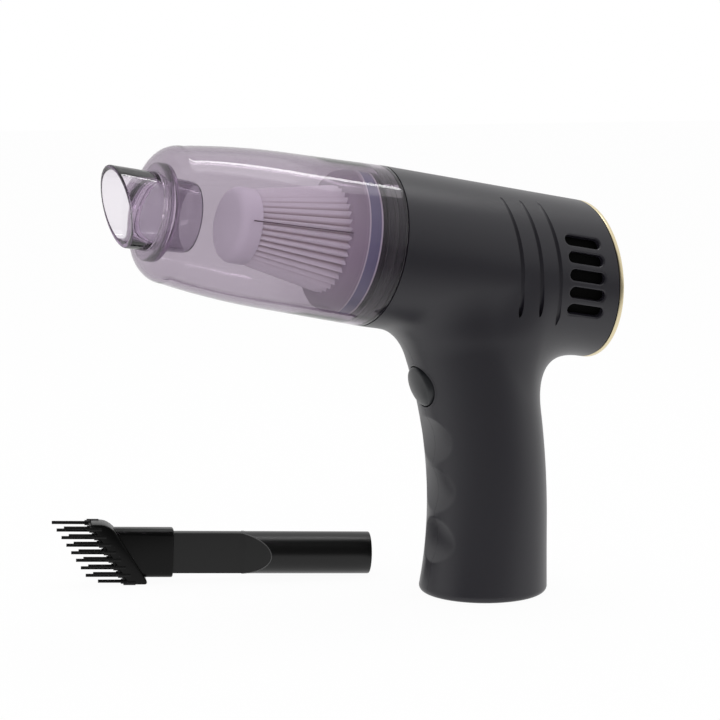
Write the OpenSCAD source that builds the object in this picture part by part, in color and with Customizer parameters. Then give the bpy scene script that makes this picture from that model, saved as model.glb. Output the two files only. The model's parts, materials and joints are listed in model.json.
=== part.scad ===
// Cordless car vacuum cleaner: pistol grip, barrel with a fan motor, clear dust cup over a pleated
// filter, and a loose crevice tool with a brush head.
// Millimetres, +Z up. The base of the grip stands on Z = 0 and the nozzle points towards -X.

/* [Barrel] */
// outside radius of the barrel
barrel_r = 33; // [30:0.5:38]
// length of the barrel on its axis, from the cup seam to the rear rim
barrel_len = 102.8; // [98:0.2:112]
// upward pitch of the barrel axis, degrees
barrel_pitch = 10; // [6:0.2:14]
// lean of the rear rim from square to the barrel axis, degrees
rear_lean = 12; // [0:0.5:16]
// cup seam ahead of the middle of the grip
seam_reach = 55.5; // [50:0.5:62]
// height of the barrel axis at the cup seam
seam_z = 149.2; // [144:0.2:160]
// wall of the casing
wall = 2.4; // [2:0.1:3]
// open line between the two casing halves
parting_gap = 0.1; // [0.05:0.05:0.3]

/* [Grip] */
// height of the narrowest place of the grip
waist_z = 38; // [30:0.5:46]
// front of the grip ahead of its middle, at the waist
waist_front = 24.3; // [23:0.1:27]
// radius of the hollow front line
front_sweep = 185; // [150:1:240]
// back of the grip behind its middle
grip_back = 26.8; // [25:0.1:30]
// height where the back line starts to curve forward
back_bend_z = 30; // [20:0.5:40]
// radius of the back line
back_sweep = 316; // [260:2:420]
// rounding of the base edge
base_round = 2.5; // [1:0.1:3]
// finger scoops in the front of the grip
scoop_count = 3; // [1:1:3]
// height of the middle of the lowest scoop
scoop_low_z = 23.4; // [20:0.2:28]
// distance between scoops
scoop_pitch = 21.2; // [18:0.1:22]
// depth of a scoop
scoop_depth = 2; // [1:0.1:2.4]
// half of the width of a scoop across the grip
scoop_half_width = 12.9; // [9:0.1:15]

/* [Vents and grooves] */
// vent slots on each side
vent_count = 5; // [3:1:6]
// length of a vent slot
vent_len = 15.5; // [10:0.5:20]
// width of a vent slot
vent_width = 4.6; // [3:0.1:5]
// angle between vent slots, degrees
vent_step = 12.7; // [11:0.1:15]
// angle of the middle slot above the side, degrees
vent_mid = 3.9; // [-5:0.1:10]
// middle of the slots ahead of the rear rim
vent_setback = 16.5; // [13:0.5:22]
// crescent grooves on each side
groove_count = 3; // [1:1:3]
// first groove behind the cup seam
groove_start = 54.9; // [48:0.1:60]
// distance between grooves
groove_pitch = 9.3; // [7:0.1:11]
// lean of the grooves from square to the barrel axis, degrees
groove_lean = 17; // [8:0.5:20]
// angle of the deepest place of a groove above the side, degrees
groove_mid = 14; // [0:1:25]
// half of the angle that a groove spans, degrees
groove_half_span = 48; // [35:1:60]
// depth of a groove
groove_depth = 1.2; // [0.6:0.1:1.6]
// radius of the round bottom of a groove
groove_tube = 3; // [2:0.1:4]

/* [Dust cup] */
// length of the cup from the seam to its front face
cup_len = 98; // [96:0.5:110]
// wall of the cup
cup_wall = 2; // [1.6:0.1:2.4]
// fall of the cup's radius for each millimetre forward
cup_taper = 0.035; // [0.02:0.001:0.05]
// straight part of the cup's side before it curves in
cup_straight = 45; // [35:1:55]
// radius of the curved part of the cup's side
cup_sweep = 330; // [250:5:450]
// rounding of the cup's front shoulder
cup_shoulder = 10; // [7:0.5:11]
// inside radius of the cup round the filter flange
cup_seat_r = 29.9; // [28.5:0.1:30]
// length of the spigot that the cup pushes over
spigot_len = 8; // [6:0.5:10]
// clearance between pieces that pull apart
slip_gap = 0.3; // [0.2:0.05:0.5]
// clearance between pieces that are fixed together
seat_gap = 0.05; // [0.02:0.01:0.1]

/* [Inlet nozzle] */
// outside radius of the nozzle tube
nozzle_r = 15.4; // [14:0.1:16]
// wall of the nozzle
nozzle_wall = 1.9; // [1.5:0.1:2.2]
// middle of the mouth ahead of the seam
mouth_s = 111; // [108:0.5:116]
// slant of the mouth, degrees, upper lip forward
mouth_slant = 20; // [0:1:30]
// outside radius of the stub inside the cup
stub_r = 14.2; // [12:0.1:15]
// inner end of the stub ahead of the seam
stub_s = 81; // [79:0.5:90]
// radius of the flange behind the cup's front wall
nozzle_flange_r = 19; // [17:0.1:19.2]
// thickness of that flange
nozzle_flange_t = 1.8; // [1.2:0.1:2.5]
// thickness of the ring between the flange and the cup
nozzle_seal_t = 0.9; // [0.6:0.1:1.2]

/* [Filter] */
// number of pleats
pleat_count = 38; // [24:1:44]
// outside radius of the pleats at the flange
pleat_rear_r = 22.4; // [20:0.1:24]
// outside radius of the pleats at the nose
pleat_front_r = 15.3; // [13:0.1:17]
// pleats start, ahead of the seam
pleat_rear_s = 19.8; // [18.5:0.1:24]
// pleats end, ahead of the seam
pleat_front_s = 55.6; // [48:0.1:58]
// depth of a pleat, as a share of its radius
pleat_fold = 0.16; // [0.08:0.01:0.22]
// thickness of the paper
paper_t = 0.5; // [0.3:0.1:0.8]
// front of the filter's nose cap ahead of the seam
nose_s = 64.6; // [60:0.1:65]
// front of the filter flange ahead of the seam
flange_s = 17.6; // [15:0.1:18.2]
// ribs of the cage inside the paper
cage_ribs = 6; // [4:1:8]

/* [Fan and motor] */
// radius of the impeller
impeller_r = 25; // [22:0.5:26]
// blades of the impeller
blade_count = 9; // [6:1:12]
// radius of the motor can
can_r = 17.9; // [15:0.1:18.5]
// length of the motor can
can_len = 48; // [40:0.5:52]
// radius of the motor shaft
shaft_r = 1.6; // [1.5:0.05:2.5]
// clearance of the shaft in its bushes
bush_gap = 0.05; // [0.02:0.01:0.08]

/* [Power button] */
// height of the middle of the button
button_z = 89.5; // [86:0.5:94]
// downward tilt of the button's face, degrees
button_tilt = 17; // [8:0.5:22]
// radius of the button
button_r = 8.7; // [7:0.1:9.2]
// button above the grip's front line at rest
button_proud = 2.3; // [2.3:0.1:3.5]
// travel of the button
button_travel = 1.6; // [1:0.1:1.8]

/* [Batteries] */
// radius of a battery cell
cell_r = 9.15; // [8.5:0.05:9.2]
// length of a battery cell
cell_len = 65; // [60:0.5:66]
// lower end of the cells above the base
cell_z = 13.5; // [13:0.1:15]

/* [Crevice tool and brush] */
// length of the tool and brush, from the bristle tips to the tube end
tool_len = 140; // [130:0.5:160]
// outside radius of the tool's tube
tool_r = 9.2; // [8.5:0.1:10.5]
// wall of the tool
tool_wall = 1.3; // [1:0.1:1.6]
// half of the thickness of the blade
blade_half = 2.6; // [2.3:0.1:3.5]
// place of the blade's tip behind the bristle tips
blade_tip = 40; // [38:0.5:44]
// place where the flat face ends on the tube
facet_end = 95.7; // [88:0.5:105]
// rise of the flat face for each millimetre along the tool
facet_rise = 0.55; // [0.4:0.01:0.8]
// bristle tips at rest, ahead of the grip and beside it
tool_x = -163.4; // [-180:0.2:-150]
// bristle tips at rest, to the far side
tool_y = 91.1; // [80:0.2:120]
// heading of the tool on the floor, degrees
tool_yaw = -17.5; // [-30:0.5:0]
// height of the brush frame
frame_h = 26.2; // [25:0.1:30]
// depth of the brush frame
frame_d = 12.5; // [11:0.1:16]
// length of the brush frame along the tool
frame_t = 9.8; // [8:0.1:12]
// place of the top of the frame's front face behind the bristle tips
frame_top = 16.6; // [15:0.1:20]
// place of the bottom of the frame's front face behind the bristle tips
frame_bottom = 33.6; // [28:0.1:36]
// height of the brush sleeve
sleeve_h = 21.3; // [21:0.1:23]
// depth of the brush sleeve
sleeve_d = 9.4; // [9:0.1:11]
// rear end of the sleeve behind the bristle tips
sleeve_end = 53.7; // [50:0.1:60]
// tufts in each of the two rows
tuft_count = 8; // [5:1:8]
// strands along the radius of a tuft
tuft_rings = 2; // [1:1:2]
// radius of a strand
strand_r = 0.16; // [0.1:0.01:0.17]
// distance between the two rows of tufts
row_gap = 6; // [4:0.2:8]
// free length of the far, longer row
long_tuft = 15.6; // [12:0.1:16.2]
// free length of the near, shorter row
short_tuft = 11.4; // [8:0.1:15]

/* [Hidden] */
$fn = 72;
big = 400;
eps = 0.01;

// heights that are given for standard cells and follow their length
standard_cell = 65;
cell_growth = cell_len - standard_cell;
press_z = button_z + cell_growth;
bend_z = back_bend_z + cell_growth;

// barrel, with the seat and impeller radii given for the standard one and following its radius
standard_r = 33;
barrel_growth = barrel_r - standard_r;
seat_r = cup_seat_r + barrel_growth;
fan_r = impeller_r + barrel_growth;
bore_r = barrel_r - wall;
plug_r = bore_r - seat_gap;
plug_len = 8;
rim_gap = 0.3;
trim_t = 1.5;
trim_in_r = bore_r;
cover_depth = 7;
cover_t = 2;
cover_hole_r = 1.8;
cover_rings = 2;
cover_ring_holes = 6;

// grip
grip_facets = 44;
grip_steps = 10;
hollow_facets = 28;
hollow_steps = 5;
grip_top = seam_z - seam_reach * tan(barrel_pitch) - barrel_r / 2;
floor_t = wall;
base_cap_r = 22;
base_cap_lip = 1.2;
base_cap_t = 1.5;
scoop_half_height = scoop_pitch / 2 - 0.4;
scoop_tube = (pow(scoop_half_height, 2) + pow(scoop_depth, 2)) / (2 * scoop_depth);

// screws through the right half into the left half, with grip places as [X, Z]
screw_r = 1.4;
screw_head_r = 2.7;
screw_head_t = 1.8;
screw_reach = 8;
boss_r = 3.2;
boss_inset = 5.6;
barrel_boss_up = bore_r - boss_inset;
front_boss_s = 46;
rear_boss_setback = 18.6;
barrel_boss_s = [front_boss_s, barrel_len - rear_boss_setback];
barrel_seat_y = 12;
grip_boss_low = [0, 8.2];
grip_seat_y = 15;

// spigot, cup and filter
cup_step = 0.8;
cup_bore_r = seat_r + cup_step;
spigot_r = cup_bore_r - slip_gap;
spigot_wall = 3;
spigot_bore_r = spigot_r - spigot_wall;
seal_tube = 1.1;
seal_slack = 0.1;
seal_r = cup_bore_r - seal_slack - seal_tube;
seal_s = spigot_len / 2 + seal_tube / 2;
cup_steps = 14;
nozzle_hole_r = nozzle_r + seat_gap;
shoulder_land = 0.5;
shoulder = min(cup_shoulder, cup_r(cup_len - cup_shoulder) - nozzle_hole_r - shoulder_land);
shoulder_s = cup_len - shoulder;
facet_sag = 0.1;
flange_over = max(nozzle_flange_r - shoulder_r(), 0);
cup_floor_s = shoulder_s + sqrt(pow(shoulder - cup_wall, 2) - flange_over * flange_over) - facet_sag;
nozzle_flange_s = cup_floor_s - nozzle_seal_t - 2 * seat_gap;
stub_bore_r = stub_r - nozzle_wall;
nozzle_bore_r = nozzle_r - nozzle_wall;
flange_r = seat_r - slip_gap;
flange_rear_s = spigot_len + slip_gap;
gasket_t = 1;
sleeve_r = spigot_bore_r - slip_gap;
filter_wall = 1.8;
sleeve_bore_r = sleeve_r - filter_wall;
sleeve_s = 2.5;
cage_rib_r = 1;
nose_round = 4;

// fan and motor, along the barrel axis behind the seam
grille_t = 2.5;
grille_holes = 8;
grille_circle_r = spigot_bore_r * 0.62;
grille_hole_r = spigot_bore_r * 0.21;
shroud_s = plug_len + 1;
shroud_t = 1.8;
shroud_len = 15;
shroud_eye_r = 12;
fan_gap = 1;
blade_h = 8.2;
disc_t = 1.2;
hub_r = 5;
hub_h = 6.2;
blade_sweep_r = fan_r * 0.62;
mount_s = shroud_s + shroud_len + seat_gap;
mount_t = 2.4;
mount_slot_r = 3;
mount_slots = 12;
can_s = mount_s + mount_t + seat_gap;
can_wall = 1.4;
endcap_t = 4;
endcap_plug = 2;
endcap_s = can_s + can_len + seat_gap;
bush_r = 4;
bush_len = 5;
rotor_r = 13.2;
magnet_in_r = 14;
rotor_setback = 10;
commutator_r = 5;
commutator_len = 6;
shaft_tail = 2;
magnet_setback = 8;
cradle_s = 62;
cradle_t = 6;
cradle_ring_t = 2;
cradle_spokes = 4;
spoke_gap = 0.1;

// button, along its own axis from the grip's front line
bezel_r = 10.1;
bezel_blank = 3;
bezel_len = 9;
bezel_step = 3;
button_flange_r = 9.3;
button_flange_t = 1.6;
button_crown = 24;
bezel_bore_r = button_r + slip_gap;
bezel_rear_r = button_flange_r + slip_gap;
switch_t = 2;
switch_box = 12;
switch_depth = 6;
stem_r = 1.8;
stem_len = 2.6;

// batteries and board
cell_fit = 0.1;
cell_circle = cell_r * 2 / sqrt(3) + cell_fit;
tray_r = 19;
tray_t = 1.7;
tray_rim = 6;
tray_leg_r = 2.4;
tray_leg_x = 13;
cell_top = cell_z + cell_len + seat_gap;
cap_top = cell_top + tray_t;
nub_r = 3;
nub_h = 0.8;
board_x = 4;
board_t = 1.6;
board_w = 26;
board_h = 17;
board_slot = 1;
board_foot = cap_top - board_slot + seat_gap;
high_boss_x = 2;
boss_over_board = 1.5;
grip_boss_high = [high_boss_x, board_foot + board_h + boss_over_board + boss_r];
board_margin = 3;
chip = 7;
chip_up = 5;
choke_r = 5;
choke_h = 6;
choke_up = 9;
socket_up = 5.2;
socket_z = cap_top + socket_up;
socket_r = 3.5;
socket_bore_r = 2.8;
socket_depth = 9;
socket_sink = 1;

// tool and brush
sleeve_fit = 0.3;
sleeve_round = 3;
tool_bore_r = tool_r - tool_wall;
facet_start = facet_end - (tool_r - blade_half) / facet_rise;
frame_rest = frame_bottom + frame_t;
tool_tilt = atan((frame_h / 2 - tool_r) / (tool_len - frame_rest));
tool_z = frame_h / 2 + frame_rest * tan(tool_tilt);
duct_h = 14;
duct_d = 3;
slice_t = 1.2;
slice_margin = 0.6;
tuft_margin = 1;
row_shift = 0.3;
strand_pitch = 0.36;
frame_lean = (frame_bottom - frame_top) / frame_h;

// Places

// barrel frame: origin on the axis at the cup seam, Z forward along the barrel, X up
module barrel_frame() {
    translate([-seam_reach, 0, seam_z])
        rotate([0, barrel_pitch - 90, 0])
            children();
}

// button frame: origin on the grip's front line, Z out of the button's face
module button_frame() {
    translate([front_x(press_z), 0, press_z])
        rotate([0, -90 - button_tilt, 0])
            children();
}

// tool frame: origin at the bristle tips on the tool's axis, X towards the tube end
module tool_frame() {
    translate([tool_x, tool_y, tool_z])
        rotate([0, tool_tilt, tool_yaw])
            children();
}

// slab parallel to the rear rim, between two distances ahead of it
module rear_slab(from, to) {
    translate([0, 0, -barrel_len])
        rotate([0, -rear_lean, 0])
            translate([-big / 2, -big / 2, from])
                cube([big, big, to - from]);
}

// Shared shapes

module tube(outer, inner, from, to) {
    translate([0, 0, from])
        difference() {
            cylinder(r = outer, h = to - from);
            translate([0, 0, -1])
                cylinder(r = inner, h = to - from + 2);
        }
}

module rod(radius, from, to) {
    translate([0, 0, from])
        cylinder(r = radius, h = to - from);
}

// slot outline with round ends, along X
module slot_outline(length, width) {
    square([length - width, width], center = true);
    for (end = [-1, 1])
        translate([end * (length - width) / 2, 0])
            circle(d = width);
}

// ring cut that is deepest towards -X and fades out where it crosses the surface
module fading_ring(surface_r, depth, crossing, tube_r, grow) {
    shift = (2 * surface_r * depth - depth * depth) / (2 * (surface_r - depth - crossing));
    translate([shift, 0, 0])
        rotate_extrude()
            translate([surface_r - depth + shift + tube_r, 0])
                circle(r = tube_r + grow);
}

// Grip

function front_x(z) = -waist_front - pow(z - waist_z, 2) / (2 * front_sweep);
function back_x(z) = grip_back - pow(max(z - bend_z, 0), 2) / (2 * back_sweep);
function grip_r(z) = (back_x(z) - front_x(z)) / 2;
function grip_x(z) = (back_x(z) + front_x(z)) / 2;

// level sections of the grip as [height, radius]
function outer_levels() = concat(
    [for (a = [0 : 30 : 60])
        let (z = base_round * (1 - cos(a)))
        [z, grip_r(z) - base_round * (1 - sin(a))]],
    [for (i = [0 : grip_steps])
        let (z = base_round + (grip_top - base_round) * i / grip_steps)
        [z, grip_r(z)]]);
function inner_levels() = [for (i = [0 : hollow_steps])
    let (z = floor_t + (grip_top - floor_t) * i / hollow_steps)
    [z, grip_r(z) - wall]];

// solid with n sides through level sections
module grip_loft(levels, n) {
    top = (len(levels) - 1) * n;
    points = [for (g = levels) for (i = [0 : n - 1])
        [grip_x(g[0]) + g[1] * cos(360 * i / n), g[1] * sin(360 * i / n), g[0]]];
    sides = [for (k = [0 : len(levels) - 2]) for (i = [0 : n - 1])
        let (a = k * n + i, b = k * n + (i + 1) % n)
        each [[a, a + n, b], [b, a + n, b + n]]];
    polyhedron(points,
               concat([[for (i = [0 : n - 1]) i]], sides, [[for (i = [n - 1 : -1 : 0]) top + i]]),
               convexity = 4);
}

// finger scoops, grown by a wall for the inside
module scoops(grow) {
    for (i = [0 : scoop_count - 1]) {
        z = scoop_low_z + i * scoop_pitch;
        r = grip_r(z);
        translate([grip_x(z), 0, z])
            fading_ring(r, scoop_depth, sqrt(r * r - scoop_half_width * scoop_half_width), scoop_tube, grow);
    }
}

// Casing

module barrel_blank() {
    difference() {
        rod(barrel_r, -2 * barrel_len, 0);
        rear_slab(-big, 0);
        for (i = [0 : groove_count - 1])
            for (side = [-1, 1])
                groove(i, side);
    }
}

module groove(i, side) {
    translate([0, 0, -groove_start - i * groove_pitch])
        rotate([0, -groove_lean, 0])
            rotate([0, 0, -side * (90 + groove_mid)])
                fading_ring(barrel_r, groove_depth, barrel_r * cos(groove_half_span), groove_tube, 0);
}

module vents() {
    for (i = [0 : vent_count - 1])
        for (side = [-1, 1]) {
            angle = vent_mid + (i - (vent_count - 1) / 2) * vent_step;
            s = -barrel_len + vent_setback + barrel_r * sin(angle) * tan(rear_lean);
            translate([0, 0, s])
                rotate([0, 0, side * (90 - angle)])
                    translate([bore_r - 2 * wall, 0, 0])
                        rotate([0, 90, 0])
                            linear_extrude(height = 4 * wall)
                                slot_outline(vent_len, vent_width);
        }
}

// half lengths of the screw bosses, to the middle of the wall
function barrel_boss_y() = sqrt(pow(barrel_r - wall / 2, 2) - pow(barrel_boss_up, 2));
function grip_boss_y(place) = sqrt(pow(grip_r(place[1]) - wall / 2, 2) - pow(place[0] - grip_x(place[1]), 2));

// posts on both sides of the parting plane
module screw_bosses() {
    for (s = barrel_boss_s)
        barrel_screw(s)
            rod(boss_r, -barrel_boss_y(), barrel_boss_y());
    for (place = [grip_boss_low, grip_boss_high])
        grip_screw(place)
            rod(boss_r, -grip_boss_y(place), grip_boss_y(place));
}

module barrel_screw(s) {
    barrel_frame()
        translate([barrel_boss_up, 0, -s])
            rotate([-90, 0, 0])
                children();
}

module grip_screw(place) {
    translate([place[0], 0, place[1]])
        rotate([-90, 0, 0])
            children();
}

// one half of the casing; side is -1 for the left half and 1 for the right half
module casing_half(side) {
    difference() {
        intersection() {
            union() {
                difference() {
                    union() {
                        barrel_frame()
                            barrel_blank();
                        difference() {
                            grip_loft(outer_levels(), grip_facets);
                            scoops(0);
                        }
                    }
                    barrel_frame()
                        rod(bore_r, -2 * barrel_len, 1);
                    difference() {
                        grip_loft(inner_levels(), hollow_facets);
                        scoops(wall);
                    }
                }
                screw_bosses();
            }
            translate([-big / 2, side > 0 ? parting_gap / 2 : -big - parting_gap / 2, -big / 2])
                cube([big, big, big]);
        }
        barrel_frame()
            vents();
        button_frame()
            rod(bezel_r + seat_gap, -bezel_len, bezel_len);
        rod(base_cap_r + seat_gap, -1, floor_t + eps);
        translate([board_x, 0, socket_z])
            rotate([0, 90, 0])
                rod(socket_r + seat_gap, 0, 2 * grip_back);
        for (s = barrel_boss_s)
            barrel_screw(s)
                screw_hole(side, barrel_seat_y);
        for (place = [grip_boss_low, grip_boss_high])
            grip_screw(place)
                screw_hole(side, grip_seat_y);
    }
}

// pilot on the left half, clearance and head recess on the right half
module screw_hole(side, seat_y) {
    if (side < 0)
        rod(screw_r + seat_gap, -screw_reach - 1, 1);
    else {
        rod(screw_r + slip_gap, -1, seat_y + 1);
        rod(screw_head_r + slip_gap, seat_y, 2 * barrel_r);
    }
}

module body_shell_left() {
    color([0.1, 0.1, 0.11])
        casing_half(-1);
}

module body_shell_right() {
    color([0.1, 0.1, 0.11])
        casing_half(1);
}

module base_cap() {
    color([0.08, 0.08, 0.09]) {
        rod(base_cap_r, 0, floor_t + seat_gap + eps);
        rod(base_cap_r + base_cap_lip, floor_t + seat_gap, floor_t + seat_gap + base_cap_t);
    }
}

module screw(seat_y) {
    rod(screw_r, -screw_reach, seat_y + eps);
    difference() {
        rod(screw_head_r, seat_y + seat_gap, seat_y + seat_gap + screw_head_t);
        translate([-screw_r, -screw_r / 4, seat_y + screw_head_t / 2])
            cube([2 * screw_r, screw_r / 2, screw_head_t]);
    }
    rod(screw_r, seat_y, seat_y + 2 * seat_gap);
}

module casing_screws() {
    color([0.5, 0.5, 0.52]) {
        for (s = barrel_boss_s)
            barrel_screw(s)
                screw(barrel_seat_y);
        for (place = [grip_boss_low, grip_boss_high])
            grip_screw(place)
                screw(grip_seat_y);
    }
}

// Spigot, rear trim and rear cover

module front_spigot() {
    color([0.07, 0.07, 0.08])
        barrel_frame() {
            difference() {
                union() {
                    tube(plug_r, spigot_bore_r, -plug_len, 0);
                    tube(spigot_r, spigot_bore_r, -eps, spigot_len);
                }
                tube(barrel_r, seal_r - seal_tube - seat_gap, seal_s - seal_tube - seal_slack,
                     seal_s + seal_tube + seal_slack);
            }
            difference() {
                rod(spigot_bore_r + eps, -plug_len, -plug_len + grille_t);
                for (i = [1 : grille_holes])
                    rotate([0, 0, i * 360 / grille_holes])
                        translate([grille_circle_r, 0, -plug_len - 1])
                            cylinder(r = grille_hole_r, h = grille_t + 2);
            }
        }
}

module cup_seal() {
    color([0.05, 0.05, 0.05])
        barrel_frame()
            translate([0, 0, seal_s])
                rotate_extrude()
                    translate([seal_r, 0])
                        circle(r = seal_tube);
}

module rear_trim_ring() {
    color([0.83, 0.64, 0.36])
        barrel_frame()
            intersection() {
                tube(barrel_r, trim_in_r, -2 * barrel_len, 0);
                rear_slab(-rim_gap - trim_t, -rim_gap);
            }
}

module rear_cover() {
    color([0.08, 0.08, 0.09])
        barrel_frame() {
            intersection() {
                tube(plug_r, plug_r - wall, -2 * barrel_len, 0);
                rear_slab(-rim_gap - trim_t, cover_depth);
            }
            difference() {
                intersection() {
                    rod(plug_r - wall + eps, -2 * barrel_len, 0);
                    rear_slab(-rim_gap - trim_t + 1, -rim_gap - trim_t + 1 + cover_t);
                }
                for (ring = [1 : cover_rings])
                    for (i = [1 : cover_ring_holes * ring])
                        rotate([0, 0, i * 360 / (cover_ring_holes * ring)])
                            translate([ring * plug_r / (cover_rings + 1), 0, -2 * barrel_len])
                                cylinder(r = cover_hole_r, h = 2 * barrel_len);
            }
        }
}

// Button and switch

// ring in the grip, cut flush with its surface
module button_bezel() {
    color([0.06, 0.06, 0.06])
        intersection() {
            button_frame() {
                tube(bezel_r, bezel_bore_r, -bezel_step, bezel_blank);
                tube(bezel_r, bezel_rear_r, -bezel_len, -bezel_step + eps);
            }
            grip_loft(outer_levels(), grip_facets);
        }
}

module power_button() {
    flange_z = -bezel_step - slip_gap - button_flange_t;
    color([0.05, 0.05, 0.06])
        button_frame() {
            intersection() {
                rod(button_r, flange_z, button_proud);
                translate([0, 0, button_proud - button_crown])
                    sphere(r = button_crown);
            }
            rod(button_flange_r, flange_z, flange_z + button_flange_t);
            rod(stem_r, -bezel_len - stem_len, flange_z + eps);
        }
}

module switch_body() {
    top = -bezel_len - seat_gap;
    color([0.12, 0.12, 0.13])
        button_frame()
            difference() {
                union() {
                    rod(bezel_r, top - switch_t, top);
                    translate([-switch_box / 2, -switch_box / 2, top - switch_t - switch_depth])
                        cube([switch_box, switch_box, switch_depth + eps]);
                }
                rod(stem_r + slip_gap, top - stem_len - button_travel - slip_gap, 1);
            }
}

// Dust cup and nozzle

function cup_r(s) = barrel_r - cup_taper * s - pow(max(s - cup_straight, 0), 2) / (2 * cup_sweep);
function shoulder_r() = cup_r(shoulder_s) - shoulder;

module dust_cup() {
    outside = [for (i = [0 : cup_steps])
        let (s = slip_gap + (shoulder_s - slip_gap) * i / cup_steps)
        [cup_r(s), s]];
    outer_shoulder = [for (a = [15 : 15 : 90])
        [shoulder_r() + shoulder * cos(a), shoulder_s + shoulder * sin(a)]];
    inner_shoulder = [for (a = [90 : -15 : 15])
        [shoulder_r() + (shoulder - cup_wall) * cos(a), shoulder_s + (shoulder - cup_wall) * sin(a)]];
    inside = [for (i = [cup_steps : -1 : 1])
        let (s = spigot_len + slip_gap + (shoulder_s - spigot_len - slip_gap) * i / cup_steps)
        [min(seat_r, cup_r(s) - cup_wall), s]];
    mouth = [[nozzle_hole_r, cup_len], [nozzle_hole_r, cup_len - cup_wall]];
    collar = [[seat_r, spigot_len + slip_gap], [cup_bore_r, spigot_len + slip_gap],
              [cup_bore_r, slip_gap]];
    color([0.55, 0.5, 0.62, 0.4])
        barrel_frame()
            rotate_extrude()
                polygon(concat(outside, outer_shoulder, mouth, inner_shoulder, inside, collar));
}

module inlet_nozzle() {
    outline = [[stub_bore_r, stub_s], [stub_r, stub_s], [stub_r, nozzle_flange_s - nozzle_flange_t],
               [nozzle_flange_r, nozzle_flange_s - nozzle_flange_t], [nozzle_flange_r, nozzle_flange_s],
               [nozzle_r, nozzle_flange_s], [nozzle_r, mouth_s + nozzle_r],
               [nozzle_bore_r, mouth_s + nozzle_r], [nozzle_bore_r, cup_len], [stub_bore_r, cup_len]];
    color([0.55, 0.5, 0.62, 0.4])
        barrel_frame()
            difference() {
                rotate_extrude()
                    polygon(outline);
                translate([0, 0, mouth_s])
                    rotate([0, -mouth_slant, 0])
                        translate([-big / 2, -big / 2, 0])
                            cube([big, big, big]);
            }
}

module nozzle_seal() {
    color([0.1, 0.11, 0.12])
        barrel_frame()
            tube(nozzle_flange_r, nozzle_r + seat_gap, nozzle_flange_s + seat_gap,
                 nozzle_flange_s + seat_gap + nozzle_seal_t);
}

// Filter

module filter_frame() {
    base = [[sleeve_bore_r, sleeve_s], [sleeve_r, sleeve_s], [sleeve_r, flange_rear_s + gasket_t + seat_gap],
            [flange_r, flange_rear_s + gasket_t + seat_gap], [flange_r, flange_s],
            [pleat_rear_r + 1, pleat_rear_s - seat_gap], [rib_rear_r() - cage_rib_r, pleat_rear_s - seat_gap],
            [rib_rear_r() - cage_rib_r, flange_s - gasket_t], [sleeve_bore_r, flange_rear_s]];
    nose = concat([[0, pleat_front_s + seat_gap], [pleat_front_r, pleat_front_s + seat_gap]],
                  [for (a = [0 : 15 : 90])
                      [pleat_front_r - nose_round * (1 - cos(a)), nose_s - nose_round * (1 - sin(a))]],
                  [[0, nose_s]]);
    rib_run = pleat_front_s - pleat_rear_s;
    lean = atan((rib_rear_r() - rib_front_r()) / rib_run);
    color([0.93, 0.91, 0.95])
        barrel_frame() {
            rotate_extrude()
                polygon(base);
            rotate_extrude()
                polygon(nose);
            for (i = [0 : cage_ribs - 1])
                rotate([0, 0, i * 360 / cage_ribs])
                    translate([rib_rear_r(), 0, pleat_rear_s])
                        rotate([0, -lean, 0])
                            rod(cage_rib_r, -2 * cage_rib_r, rib_run / cos(lean) + 2 * cage_rib_r);
        }
}

function rib_rear_r() = pleat_rear_r * (1 - pleat_fold) - paper_t - 2 * cage_rib_r;
function rib_front_r() = pleat_front_r * (1 - pleat_fold) - paper_t - 2 * cage_rib_r;

module filter_pleats() {
    m = 2 * pleat_count;
    rings = [[pleat_rear_r, pleat_rear_s], [pleat_front_r, pleat_front_s]];
    points = [for (ring = rings) for (inset = [0, paper_t]) for (j = [0 : m - 1])
        let (r = ring[0] * (1 - (j % 2) * pleat_fold) - inset, a = 360 * j / m)
        [r * cos(a), r * sin(a), ring[1]]];
    faces = [for (j = [0 : m - 1])
        let (k = (j + 1) % m,
             a = j, b = k, c = m + j, d = m + k,
             e = 2 * m + j, f = 2 * m + k, g = 3 * m + j, h = 3 * m + k)
        each [[a, e, b], [b, e, f], [c, d, g], [d, h, g], [a, b, c], [b, d, c], [e, g, f], [f, g, h]]];
    color([0.95, 0.94, 0.96])
        barrel_frame()
            polyhedron(points, faces, convexity = 8);
}

module filter_gasket() {
    color([0.2, 0.2, 0.22])
        barrel_frame()
            tube(flange_r, sleeve_r + seat_gap, flange_rear_s, flange_rear_s + gasket_t);
}

// Fan and motor

module fan_shroud() {
    color([0.15, 0.15, 0.16])
        barrel_frame() {
            tube(plug_r, shroud_eye_r, -shroud_s - shroud_t, -shroud_s);
            tube(fan_r + fan_gap + shroud_t, fan_r + fan_gap, -shroud_s - shroud_len,
                 -shroud_s - shroud_t + eps);
        }
}

module impeller() {
    blade_s = -shroud_s - shroud_t - fan_gap;
    color([0.85, 0.85, 0.87])
        barrel_frame() {
            difference() {
                union() {
                    rod(fan_r, blade_s - blade_h - disc_t, blade_s - blade_h);
                    rod(hub_r, blade_s - blade_h - eps, blade_s - blade_h + hub_h);
                }
                rod(shaft_r + seat_gap, blade_s - 2 * blade_h, blade_s + 1);
            }
            translate([0, 0, blade_s - blade_h - eps])
                linear_extrude(height = blade_h)
                    for (i = [0 : blade_count - 1])
                        rotate([0, 0, i * 360 / blade_count])
                            blade_outline();
        }
}

// one backward-curved blade between the hub and the rim
module blade_outline() {
    intersection() {
        translate([hub_r, blade_sweep_r])
            difference() {
                circle(r = blade_sweep_r);
                circle(r = blade_sweep_r - disc_t);
            }
        translate([fan_r / 2, fan_r / 2])
            square([fan_r, fan_r], center = true);
        difference() {
            circle(r = fan_r - disc_t / 2);
            circle(r = hub_r - disc_t / 2);
        }
    }
}

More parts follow.
